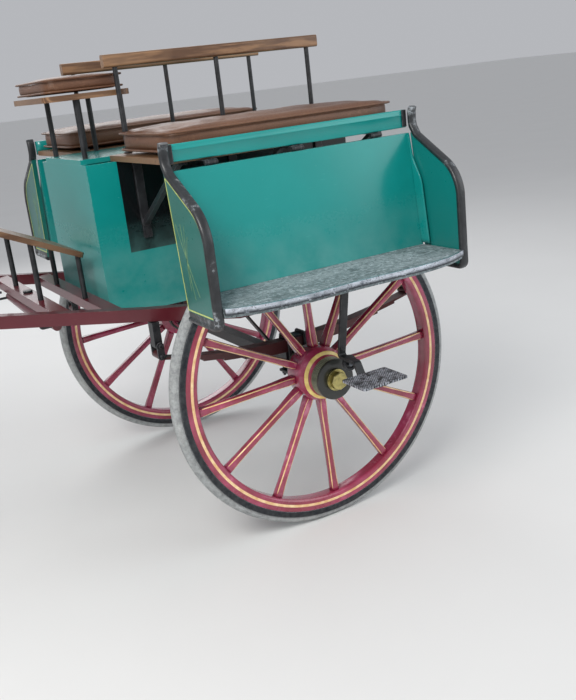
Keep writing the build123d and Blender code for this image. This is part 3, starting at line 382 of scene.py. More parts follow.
def bright_nosing():
    """Bright metal strip rubbed silver on top, dull in the hollows."""
    paint = Paint("bright_nosing", roughness=0.4, metallic=1.0)
    rub = paint.noise(40.0, 6.0, 0.65, at=paint.stretched(0.35, 1.0, 1.0))
    pits = paint.noise(240.0, 3.0)
    _, _, z = paint.axes()
    low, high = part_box("left_footboard_nosing")
    foot = 1.0 - z.ramp(low.z + 0.003, low.z + 0.010)
    base = paint.mix(rub.ramp(0.36, 0.60), (0.36, 0.40, 0.45), (0.80, 0.85, 0.93))
    base = paint.mix(pits.ramp(0.57, 0.66) * 0.75, base, (0.10, 0.11, 0.13))
    base = paint.mix(foot * paint.noise(60.0, 5.0).ramp(0.30, 0.42) * 0.9, base, (0.035, 0.04, 0.045))
    return paint.finish(base, roughness=rub * 0.3 + 0.2, height=rub * 0.6 + pits * 0.4, depth=0.0006)


def black_iron():
    """Black painted ironwork, rubbed to grey metal along its edges with a little rust."""
    paint = Paint("black_iron", roughness=0.45)
    bloom = paint.noise(35.0, 6.0, 0.65)
    fine = paint.noise(180.0, 3.0)
    edge = paint.worn_edges(0.003) * bloom.ramp(0.38, 0.55)
    base = paint.mix(bloom.ramp(0.4, 0.75), (0.008, 0.009, 0.011), (0.034, 0.036, 0.040))
    base = paint.mix(paint.noise(18.0, 5.0).ramp(0.66, 0.78) * 0.4, base, (0.08, 0.036, 0.020))
    base = paint.mix(edge * 0.7, base, (0.26, 0.265, 0.28))
    return paint.finish(base, roughness=bloom * 0.3 + 0.3, metallic=edge * 0.7, height=bloom * 0.5 + fine * 0.5,
                        depth=0.0005, edge=0.002)


def collar_iron():
    """Ribbed nave collar: black in the grooves, olive along each rib top, partly rubbed wear and partly painted
    highlight.
    """
    paint = Paint("collar_iron", roughness=0.4, coat=0.3)
    _, y, _ = paint.axes()
    share = (y.math("ABSOLUTE") - (WHEEL_Y + COLLAR_BACK)) * (COLLAR_RIBS / (COLLAR_FRONT - COLLAR_BACK))
    crest_highlight = (((share - 0.44) * (2.0 * math.pi)).math("COSINE") > 0.90) * (share < COLLAR_RIBS)
    rub = paint.noise(60.0, 5.0)
    base = paint.mix(rub, (0.010, 0.011, 0.010), (0.030, 0.032, 0.028))
    # olive along each rib top: partly rubbed wear, partly painted highlight
    base = paint.mix(crest_highlight * (rub.ramp(0.2, 0.45) * 0.6 + 0.25), base, (0.30, 0.31, 0.20))
    return paint.finish(base, roughness=rub * 0.25 + 0.25, height=rub, depth=0.0003, edge=0.0)


def edging_black():
    """Thick black beading, handled to a shine, with pale patches that are partly rubbed chips and partly
    painted highlight.
    """
    paint = Paint("edging_black", roughness=0.35, coat=0.35, coat_roughness=0.2)
    rub = paint.noise(16.0, 6.0, 0.65)
    nick = paint.noise(75.0, 5.0, 0.7)
    grain = paint.cells(420.0)
    base = paint.mix(rub.ramp(0.35, 0.7), (0.006, 0.007, 0.009), (0.030, 0.034, 0.038))
    chips_and_highlights = rub.ramp(0.54, 0.66) * nick.ramp(0.47, 0.56)
    # pale grey patches: partly rubbed chips, partly painted highlight
    base = paint.mix(chips_and_highlights * 0.8, base, (0.40, 0.44, 0.47))
    return paint.finish(base, roughness=nick * 0.3 + 0.32 + chips_and_highlights * 0.2,
                        height=grain * 0.3 + nick * 0.7 - chips_and_highlights * 0.5, depth=0.0012, edge=0.0)


def channel_steel():
    """Dull steel tyre channel with a bright rubbed lip."""
    paint = Paint("channel_steel", roughness=0.45, metallic=0.9)
    scuff = paint.noise(70.0, 6.0, 0.65)
    edge = paint.worn_edges(0.0035)
    base = paint.mix(scuff.ramp(0.35, 0.7), (0.028, 0.032, 0.038), (0.085, 0.09, 0.095))
    base = paint.mix(edge, base, (0.50, 0.51, 0.54))
    return paint.finish(base, roughness=scuff * 0.3 + 0.3, height=scuff, depth=0.0004)


def dull_brass():
    """Brass with a greenish tarnish in its hollows."""
    paint = Paint("dull_brass", roughness=0.32, metallic=1.0)
    tarnish = paint.noise(55.0, 6.0, 0.6)
    edge = paint.worn_edges(0.002)
    base = paint.mix(tarnish.ramp(0.4, 0.75), (0.50, 0.43, 0.17), (0.22, 0.21, 0.10))
    base = paint.mix(edge * 0.6, base, (0.74, 0.66, 0.36))
    return paint.finish(base, roughness=tarnish * 0.35 + 0.15, height=tarnish, depth=0.0003)


def tread_iron():
    """Cast step tread: crossed ribs rubbed bright, dirt between them."""
    paint = Paint("tread_iron", roughness=0.5, metallic=0.6)
    x, y, _ = paint.axes()
    rib = 2.0 * math.pi / 0.019
    first = ((x + y) * rib).math("SINE")
    second = ((x - y) * rib).math("SINE")
    raised = (first * second).math("ABSOLUTE").ramp(0.15, 0.6)
    wear = paint.noise(50.0, 5.0)
    worn = paint.noise(110.0, 6.0, 0.7)
    base = paint.mix(raised * wear.ramp(0.36, 0.56), (0.020, 0.022, 0.026), (0.60, 0.63, 0.70))
    base = paint.mix(worn.ramp(0.52, 0.60) * 0.8, base, (0.42, 0.44, 0.49))
    base = paint.mix(worn.ramp(0.30, 0.46) * -1.0 + 1.0, base, (0.015, 0.016, 0.018))
    return paint.finish(base, roughness=wear * 0.3 + 0.35, height=raised * 0.85 + wear * 0.15, depth=0.0016)


def oiled_wood():
    """Oiled ash: grain along the length with darker growth lines."""
    paint = Paint("oiled_wood", roughness=0.45, coat=0.15)
    along = paint.stretched(0.1, 1.0, 1.0)
    rings = paint.node("ShaderNodeTexWave", {"bands_direction": "Y"}, out="Fac", Vector=along, Scale=38.0,
                       Distortion=7.0, Detail=3.0)
    pores = paint.noise(260.0, 4.0, 0.6, at=along)
    patch = paint.noise(4.0, 3.0)
    base = paint.mix(rings.ramp(0.2, 0.9), (0.115, 0.055, 0.026), (0.27, 0.145, 0.07))
    base = paint.mix(pores.ramp(0.55, 0.7) * 0.55, base, (0.05, 0.024, 0.013))
    base = paint.mix(patch.ramp(0.45, 0.7) * 0.35, base, (0.36, 0.22, 0.12))
    return paint.finish(base, roughness=pores * 0.25 + 0.3, height=pores * 0.5 + rings * 0.5, depth=0.0005)


def brown_leather():
    """Brown seat leather: pebbled grain, creases, and paler crowns."""
    paint = Paint("brown_leather", roughness=0.5, coat=0.1)
    pebble = paint.cells(330.0)
    crease = paint.noise(42.0, 6.0, 0.7)
    patch = paint.noise(3.0, 3.0)
    base = paint.mix(patch.ramp(0.35, 0.7), (0.115, 0.048, 0.024), (0.185, 0.085, 0.042))
    base = paint.mix(crease.ramp(0.56, 0.70) * 0.28, base, (0.30, 0.165, 0.09))
    base = paint.mix(pebble.ramp(0.45, 0.75) * 0.35, base, (0.045, 0.02, 0.011))
    return paint.finish(base, roughness=pebble * 0.2 + 0.38, height=crease * 0.5 - pebble * 0.5, depth=0.0009,
                        edge=0.0)


# Each lining below passes its colour and a painted-shade copy of it.
def ochre_band():
    """Ochre lining round the nave."""
    return line_paint("ochre_line", chosen("ochre"), (0.78, 0.55, 0.14))


def cream_line():
    """Cream lining on the wheels."""
    return line_paint("cream_line", chosen("cream"), (0.78, 0.46, 0.20))


def yellow_line():
    """Pale yellow lining on the wings."""
    return line_paint("yellow_line", chosen("yellow"), (0.42, 0.50, 0.13))


def faint_line():
    """Thin faded strokes on the wings."""
    return line_paint("faint_line", (0.26, 0.40, 0.17), (0.10, 0.20, 0.10))


FINISHES = {
    "crimson_paint": crimson_paint, "tyre_steel": channel_steel, "solid_rubber": grey_rubber,
    "black_iron": black_iron, "cap_brass": dull_brass, "spring_steel_red": spring_paint,
    "dark_red_paint": dark_red_paint, "teal_paint": teal_paint, "dark_green_paint": green_paint,
    "worn_grey_board": worn_board, "nosing_metal": bright_nosing, "tread_iron": tread_iron,
    "varnished_wood": oiled_wood, "brown_leather": brown_leather,
}
LINING = {"edging": edging_black, "ochre": ochre_band, "cream": cream_line, "yellow": yellow_line,
          "faint": faint_line, "collar": collar_iron}
MADE = {}


def finish_of(name):
    """The material of one finish, made the first time it is asked for."""
    if name not in MADE:
        MADE[name] = (FINISHES.get(name) or LINING[name])()
    return MADE[name]


# ---- surfaces --------------------------------------------------------------------------------
def skin(name, grid, finish, slot, body, close_u=False, close_v=False, cap=False, flip=False, smooth=True):
    """A mesh on a grid of points (u, v, xyz), closed round either way, with its two ends of v capped."""
    grid = np.asarray(grid, float)
    rows, columns = grid.shape[:2]
    index = np.arange(rows * columns).reshape(rows, columns)
    u_next = np.roll(index, -1, 0)
    v_next = np.roll(index, -1, 1)
    both = np.roll(u_next, -1, 1)
    quads = np.stack([index, u_next, both, v_next], -1)
    quads = quads[:rows if close_u else rows - 1, :columns if close_v else columns - 1].reshape(-1, 4)
    turn = -1 if flip else 1
    faces = quads[:, ::turn].tolist()
    if cap:
        faces += [index[::-1, 0][::turn].tolist(), index[:, -1][::turn].tolist()]
    mesh = bpy.data.meshes.new(name)
    mesh.from_pydata(grid.reshape(-1, 3).tolist(), [], faces)
    mesh.validate()
    shading = np.full(len(mesh.polygons), smooth)
    if cap:
        shading[-2:] = False
    mesh.polygons.foreach_set("use_smooth", shading)
    mesh.materials.append(finish_of(finish))
    return placed(name, mesh, slot, body)


def placed(name, mesh, slot, body):
    """A mesh as an object at the origin that rides on a body and belongs to a material slot."""
    piece = bpy.data.objects.new(name, mesh)
    bpy.context.scene.collection.objects.link(piece)
    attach(piece, body)
    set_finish(piece, slot)
    return piece


def read(collection, field, width=1, kind=np.int32):
    """One field of all of a mesh's vertices, loops or polygons, as a flat array."""
    values = np.empty(len(collection) * width, dtype=kind)
    collection.foreach_get(field, values)
    return values


def joined(name, parts):
    """Several pieces of one body and finish as one object: their points, corners and faces end to end."""
    meshes = [part.data for part in parts]
    points = np.concatenate([read(mesh.vertices, "co", 3, np.float32) for mesh in meshes])
    first = np.cumsum([0] + [len(mesh.vertices) for mesh in meshes[:-1]])
    corners = np.concatenate([read(mesh.loops, "vertex_index") + start
                              for mesh, start in zip(meshes, first)]).astype(np.int32)
    totals = np.concatenate([read(mesh.polygons, "loop_total") for mesh in meshes])
    smooth = np.concatenate([read(mesh.polygons, "use_smooth", 1, bool) for mesh in meshes])
    whole = bpy.data.meshes.new(name)
    whole.vertices.add(len(points) // 3)
    whole.vertices.foreach_set("co", points)
    whole.loops.add(len(corners))
    whole.loops.foreach_set("vertex_index", corners)
    whole.polygons.add(len(totals))
    whole.polygons.foreach_set("loop_start", np.concatenate([[0], np.cumsum(totals)[:-1]]).astype(np.int32))
    whole.polygons.foreach_set("use_smooth", smooth)
    whole.update(calc_edges=True)
    whole.materials.append(parts[0].data.materials[0])
    body = body_of(parts[0])[0]
    slot = parts[0].get("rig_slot")
    for part in parts:
        bpy.data.objects.remove(part)
    return placed(name, whole, slot, body)


def squircle(angle, half_u, half_v, power):
    """A point at an angle on |u/a|^n + |v/b|^n = 1."""
    cosine, sine = np.cos(angle), np.sin(angle)
    return (half_u * np.sign(cosine) * np.abs(cosine) ** (2 / power),
            half_v * np.sign(sine) * np.abs(sine) ** (2 / power))


def unit(vectors):
    """Rows brought to length 1."""
    return vectors / np.linalg.norm(vectors, axis=1, keepdims=True)


def rounded(half_u, half_v, power=4.0, steps=28):
    """Outline of a rounded bar: |u/a|^n + |v/b|^n = 1, taken at even angles."""
    return np.stack(squircle(np.arange(steps) * 2 * np.pi / steps, half_u, half_v, power), -1)


def carried(outline, path, side, up):
    """An outline (u, v) carried along a path, with u along side and v along up at each point."""
    path, side, up = (np.asarray(a, float) for a in (path, side, up))
    if outline.ndim == 2:
        outline = np.repeat(outline[:, None], len(path), 1)
    return path[None] + outline[..., :1] * side[None] + outline[..., 1:] * up[None]


def turned_grid(profile, centre_y, side, steps=128, eased=0.0012):
    """A profile of (radius, outward distance) turned about the axle, its corners eased by short cuts."""
    profile = np.asarray(profile, float)
    before = np.roll(profile, 1, 0) - profile
    after = np.roll(profile, -1, 0) - profile
    reach_b = np.linalg.norm(before, axis=1, keepdims=True)
    reach_a = np.linalg.norm(after, axis=1, keepdims=True)
    cut_b = profile + before / reach_b * np.minimum(eased, reach_b * 0.4)
    cut_a = profile + after / reach_a * np.minimum(eased, reach_a * 0.4)
    middle = profile * 0.5 + (cut_b + cut_a) * 0.25
    eased_profile = np.stack([cut_b, middle, cut_a], 1).reshape(-1, 2)
    angle = np.arange(steps) * 2 * np.pi / steps
    radius = eased_profile[None, :, 0]
    x = AXLE.x - radius * np.cos(angle)[:, None]
    z = AXLE.z + radius * np.sin(angle)[:, None]
    y = np.broadcast_to(side * (centre_y + eased_profile[None, :, 1]), x.shape)
    return np.stack([x, y, z], -1)


def disc_bolt(name, centre, axis, radius, height, body, finish="black_iron", slot="black_iron", sides=6):
    """A bolt head or rivet: a low drum with an eased crown, on an axis."""
    axis = np.asarray(axis, float)
    helper = np.array([0.0, 0.0, 1.0]) if abs(axis[2]) < 0.9 else np.array([1.0, 0.0, 0.0])
    first = np.cross(axis, helper)
    first /= np.linalg.norm(first)
    second = np.cross(axis, first)
    angle = np.arange(sides) * 2 * np.pi / sides
    ring = np.cos(angle)[:, None] * first + np.sin(angle)[:, None] * second
    levels = ((1.0, 0.0), (1.0, 0.75), (0.82, 1.0))
    grid = np.stack([np.asarray(centre) + ring * radius * r + axis * height * h for r, h in levels], 1)
    return skin(name, grid, finish, slot, body, close_u=True, cap=True, smooth=sides > 8)


# ---- settings --------------------------------------------------------------------------------
def length_setting(name, description, default):
    """A length in metres that can be changed in the sidebar."""
    return bpy.props.FloatProperty(name=name, description=description, default=default, unit="LENGTH")


def angle_setting(name, description, degrees):
    """An angle that can be changed in the sidebar."""
    return bpy.props.FloatProperty(name=name, description=description, default=math.radians(degrees),
                                   subtype="ANGLE")


def colour_setting(name, description, default):
    """A colour that can be changed in the sidebar."""
    return bpy.props.FloatVectorProperty(name=name, description=description, default=default,
                                         subtype="COLOR", min=0.0, max=1.0)


class WheelSettings(bpy.types.PropertyGroup):
    """Sizes of the lines painted on the wheels."""
    line_radius: length_setting("Felloe line radius", "Radius of the line painted on the felloes", 0.470)
    line_width: length_setting("Felloe line width", "Width of the line painted on the felloes", 0.0092)
    spoke_line: length_setting("Spoke line width", "Width of the lines along the spokes", 0.0045)


class WingSettings(bpy.types.PropertyGroup):
    """Lining and beading of the footboard wings."""
    line_width: length_setting("Wing line width", "Width of the yellow line round each wing", 0.0040)
    line_inset: length_setting("Wing line inset", "Distance of the line from the edge of the board", 0.008)
    horn_out: length_setting("Horn offset", "How far the top of the beading stands off the seat rail", 0.0)
    bead_power: bpy.props.FloatProperty(
        name="Beading squareness", description="2 is an ellipse, more is squarer", default=2.6)


class CushionSettings(bpy.types.PropertyGroup):
    """Stuffing of the seat cushions."""
    pressure: bpy.props.FloatProperty(name="Stuffing", description="Pressure inside the cushion", default=4.0)
    voxel: length_setting("Mesh size", "Size of the remeshed cells", 0.010)


class PaintSettings(bpy.types.PropertyGroup):
    """Colours of the paints and the lining."""
    teal: colour_setting("Body teal", "Well, panels and seat rails", (0.003, 0.275, 0.255))
    crimson: colour_setting("Wheel crimson", "Felloes, spokes and naves", (0.27, 0.006, 0.034))
    green: colour_setting("Wing green", "Outer faces of the wings", (0.007, 0.140, 0.118))
    dark_red: colour_setting("Shaft red", "Shafts and cross bars", (0.125, 0.010, 0.020))
    cream: colour_setting("Wheel lining", "Lines on felloes and spokes", (1.0, 0.76, 0.44))
    ochre: colour_setting("Nave lining", "Band round each nave", (1.0, 0.78, 0.27))
    yellow: colour_setting("Wing lining", "Line round each wing", (0.66, 0.72, 0.20))


class StageSettings(bpy.types.PropertyGroup):
    """Camera and light."""
    place: bpy.props.FloatVectorProperty(
        name="Camera place", description="Where the camera stands", default=(0.5927, 3.0497, 1.5066),
        subtype="TRANSLATION", unit="LENGTH")
    heading: angle_setting("Heading", "Direction of view in plan, from +X", -118.504)
    tilt: angle_setting("Tilt", "Direction of view above the horizon", -17.299)
    roll: angle_setting("Roll", "Turn of the camera about its line of sight", -6.631)
    lens: bpy.props.FloatProperty(name="Lens", description="Focal length", default=45.71, unit="CAMERA")


# ---- wheels ----------------------------------------------------------------------------------
def spoke_frames():
    """Angle, direction and crosswise direction of each spoke in the wheel's plane, as (x, z)."""
    angle = SPOKE_PHASE + np.arange(SPOKES) * 2 * np.pi / SPOKES
    along = np.stack([-np.cos(angle), np.sin(angle)], -1)
    crosswise = np.stack([np.sin(angle), np.cos(angle)], -1)
    return along, crosswise


def spoke_section(share):
    """Distance from the axle, half width, half depth and squareness of a spoke along its length."""
    root, tip = NAVE_R - 0.003, FELLOE_R - FELLOE_DEPTH - 0.0003
    narrow = 0.0138 - 0.0020 * np.sin(np.pi * np.clip(share * 1.15, 0, 1)) ** 0.8
    deep = 0.0178 - 0.0038 * np.clip(share * 1.2 - 0.1, 0, 1)
    power = 6.0 - 3.2 * np.clip((share - 0.06) * 6, 0, 1) * np.clip((1 - share) * 8, 0, 1)
    return root + (tip - root) * share, narrow, deep, power


def on_spoke(reach, across, out, along, crosswise, side):
    """Points on a spoke from their reach, offset across it and height over the wheel's middle plane."""
    x = AXLE.x + reach * along[0] + across * crosswise[0]
    z = AXLE.z + reach * along[1] + across * crosswise[1]
    return np.stack([x, side * (WHEEL_Y + out) + np.zeros_like(x), z], -1)


class SIDECAR_OT_wheels(bpy.types.Operator):
    """Wheels: shaped spokes, felloes, tyres, nave and painted lines"""
    bl_idname = "sidecar.wheels"
    bl_label = "Wheels"

    def execute(self, context):
        settings = context.scene.sidecar_wheels
        for side_name, side in SIDES:
            body = f"{side_name}_wheel"
            self.spokes(side_name, side, body)
            self.rims(side_name, side, body)
            self.nave(side_name, side, body)
            self.lines(side_name, side, body, settings)
        return {"FINISHED"}

    def spokes(self, side_name, side, body):
        """Each spoke: a rounded bar that thins from the nave to its neck and swells again at the felloe."""
        reach, narrow, deep, power = spoke_section(np.linspace(0, 1, 26))
        angle = np.arange(28)[:, None] * 2 * np.pi / 28
        across, out = squircle(angle, narrow, deep, power)
        parts = []
        for number, (along, crosswise) in enumerate(zip(*spoke_frames())):
            grid = on_spoke(reach, across, out, along, crosswise, side)
            parts.append(skin(f"spoke_{number}", grid, "crimson_paint", "crimson_paint", body, close_u=True,
                              cap=True, flip=side < 0))
        made = joined(f"{side_name}_shaped_spokes", parts)
        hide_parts(f"{side_name}_spokes")

    def rims(self, side_name, side, body):
        """Felloes, channel and rubber as profiles turned about the axle."""
        inner = FELLOE_R - FELLOE_DEPTH
        felloe = [(inner, -RIM_HALF + 0.006), (inner + 0.006, -RIM_HALF), (FELLOE_R, -RIM_HALF),
                  (FELLOE_R, RIM_HALF), (inner + 0.006, RIM_HALF), (inner, RIM_HALF - 0.006)]
        made = skin(f"{side_name}_turned_felloes", turned_grid(felloe, WHEEL_Y, side, 192), "crimson_paint",
                    "crimson_paint", body, close_u=True, close_v=True, flip=side < 0)
        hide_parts(f"{side_name}_felloes")
        wall = 0.005
        floor = FELLOE_R + wall
        channel = [(FELLOE_R, -RIM_HALF), (FELLOE_R, RIM_HALF), (CHANNEL_R, RIM_HALF),
                   (CHANNEL_R, RIM_HALF - wall), (floor, RIM_HALF - wall), (floor, wall - RIM_HALF),
                   (CHANNEL_R, wall - RIM_HALF), (CHANNEL_R, -RIM_HALF)]
        made = skin(f"{side_name}_rolled_channel", turned_grid(channel, WHEEL_Y, side, 192), "tyre_steel",
                    "tyre_steel", body, close_u=True, close_v=True, flip=side > 0)
        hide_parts(f"{side_name}_tyre_channel")
        half = RIM_HALF - wall
        shoulder = CHANNEL_R + 0.005
        sweep = np.linspace(0, np.pi, 17)
        crown = np.stack([shoulder + (TYRE_R - shoulder) * np.sin(sweep) ** 0.9, -half * np.cos(sweep)], -1)
        rubber = np.concatenate([[(floor, -half)], crown, [(floor, half)]])[::-1]
        made = skin(f"{side_name}_moulded_rubber", turned_grid(rubber, WHEEL_Y, side, 192, 0.0008),
                    "solid_rubber", "solid_rubber", body, close_u=True, close_v=True, flip=side < 0)
        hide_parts(f"{side_name}_rubber_tyre")

    def nave(self, side_name, side, body):
        """Nave, iron hoops and the yellow ring as turned profiles."""
        nave = [(NAVE_BORE, NAVE_BACK), (0.060, NAVE_BACK), (0.060, NAVE_BACK + 0.020),
                (0.068, NAVE_BACK + 0.020), (0.084, -0.042), (NAVE_R, -0.036), (NAVE_R, 0.036), (0.086, 0.045),
                (0.0815, 0.052), (0.0805, 0.056), (0.0700, 0.0625), (0.0665, 0.068), (0.0660, 0.0785),
                (0.062, 0.0785), (0.062, NAVE_FRONT), (NAVE_BORE, NAVE_FRONT)]
        made = skin(f"{side_name}_turned_nave", turned_grid(nave[::-1], WHEEL_Y, side, 96, 0.0025),
                    "crimson_paint", "crimson_paint", body, close_u=True, close_v=True, flip=side < 0)
        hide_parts(f"{side_name}_nave")
        ring = [(0.0805, 0.0545), (0.0818, 0.0550), (0.0810, 0.0572), (0.0715, 0.0630), (0.0705, 0.0620)]
        skin(f"{side_name}_nave_ring", turned_grid(ring[::-1], WHEEL_Y, side, 96, 0.0003), "ochre",
             "crimson_paint", body, close_u=True, close_v=True, flip=side < 0)
        pitch = (COLLAR_FRONT - COLLAR_BACK) / COLLAR_RIBS
        rib = np.array([(0.0685, 0.0), (0.0685, 0.46), (0.0640, 0.60), (0.0640, 0.86)])
        shoulders = np.concatenate([rib * [1, pitch] + [0, COLLAR_BACK + pitch * number]
                                    for number in range(COLLAR_RIBS)])
        hoop = np.concatenate([[(0.0615, COLLAR_BACK)], shoulders,
                               [(0.0685, COLLAR_FRONT), (0.0670, NAVE_FRONT), (0.0615, NAVE_FRONT)]])
        plate = [(0.0345, NAVE_FRONT), (0.068, NAVE_FRONT), (0.068, 0.120), (0.0345, 0.120)]
        rear = [(0.060, NAVE_BACK), (0.068, NAVE_BACK), (0.068, -0.060), (0.060, -0.060)]
        parts = [skin(f"hoop_{number}", turned_grid(profile[::-1], WHEEL_Y, side, 96, 0.0007), "collar",
                      "black_iron", body, close_u=True, close_v=True, flip=side < 0)
                 for number, profile in enumerate((hoop, plate, rear))]
        made = joined(f"{side_name}_turned_hoops", parts)
        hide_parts(f"{side_name}_nave_bands")

    def lines(self, side_name, side, body, settings):
        """Rings painted on both faces of the felloes, and two lines along the front of each spoke."""
        rings = []
        for number, face in enumerate((1, -1)):
            low = settings.line_radius - settings.line_width / 2
            high = settings.line_radius + settings.line_width / 2
            lift = RIM_HALF + 0.0004
            band = [(low, RIM_HALF * 0.98), (high, RIM_HALF * 0.98), (high, lift), (low, lift)]
            band = [(radius, face * out) for radius, out in band][::-face]
            rings.append(skin(f"ring_{number}", turned_grid(band, WHEEL_Y, side, 192, 0.0001), "cream",
                              "crimson_paint", body, close_u=True, close_v=True, flip=side < 0))
        joined(f"{side_name}_felloe_lines", rings)
        strips = []
        share = np.linspace(0.02, 0.965, 24)
        reach, narrow, deep, power = spoke_section(share)
        middle = 46 + 30 * (1 - np.clip((share - 0.02) * 7, 0, 1)) ** 2
        spread = 13.0 * settings.spoke_line / 0.005 * (1 - 0.45 * (1 - np.clip((share - 0.02) * 7, 0, 1)))
        angle = np.radians(middle + np.linspace(-1, 1, 5)[:, None] * spread)
        over_u, over_v = squircle(angle, narrow + 0.0004, deep + 0.0004, power)
        under_u, under_v = squircle(angle[::-1], narrow - 0.0015, deep - 0.0015, power)
        across, out = np.concatenate([over_u, under_u]), np.concatenate([over_v, under_v])
        for along, crosswise in zip(*spoke_frames()):
            for hand in (1, -1):
                grid = on_spoke(reach, hand * across, out, along, crosswise, side)
                strips.append(skin("strip", grid, "cream", "crimson_paint", body, close_u=True, cap=True,
                                   flip=side * hand < 0))
        joined(f"{side_name}_spoke_lines", strips)


# ---- footboards ------------------------------------------------------------------------------
def wing_line(grow):
    """Side outline of a wing as an open run of (y, z): down the swept top, round the brow, down the front
    edge and back along the foot, moved outward by grow."""
    low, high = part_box("left_wings")
    heel_y = low.y + 0.0422
    top = np.array([low.y, high.z])
    shoulder = np.array([high.y - 0.060, high.z - 0.090])
    break_point = np.array([high.y, high.z - 0.185])
    run = shoulder - top
    run = run / np.linalg.norm(run)
    normal = np.array([run[1], -run[0]])
    chord = break_point - shoulder
    radius = (chord @ chord) / (2 * (chord @ normal))
    centre = shoulder + normal * radius
    start = math.atan2(*(shoulder - centre)[::-1])
    stop = math.atan2(*(break_point - centre)[::-1])
    bow = np.linspace(start, stop, 14)
    brow = centre + abs(radius) * np.stack([np.cos(bow), np.sin(bow)], -1)
    foot = np.array([high.y, low.z])
    heel = np.array([heel_y, low.z])
    corner = 0.012
    turn = np.linspace(0, np.pi / 2, 7)[1:-1]
    round_foot = foot + corner * np.stack([np.cos(turn) - 1, 1 - np.sin(turn)], -1)
    steps = np.linspace(0, 1, 9)[:, None]
    upper = top + (shoulder - top) * steps[:-1]
    front = brow[-1] + (foot + [0, corner] - brow[-1]) * steps[1:]
    base = foot - [corner, 0] + (heel - foot + [corner, 0]) * steps
    line = np.concatenate([upper, brow, front, round_foot, base])
    return line + outward_of(line) * grow


def outward_of(line):
    """Direction out of an open run of (y, z), a quarter turn to the left of its run."""
    tangent = unit(np.gradient(line, axis=0))
    return np.stack([-tangent[:, 1], tangent[:, 0]], -1)


def wing_faces():
    """Outer face of each wing board and the direction it looks, front wing first."""
    low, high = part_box("left_wings")
    return ((high.x, 1), (low.x, -1))


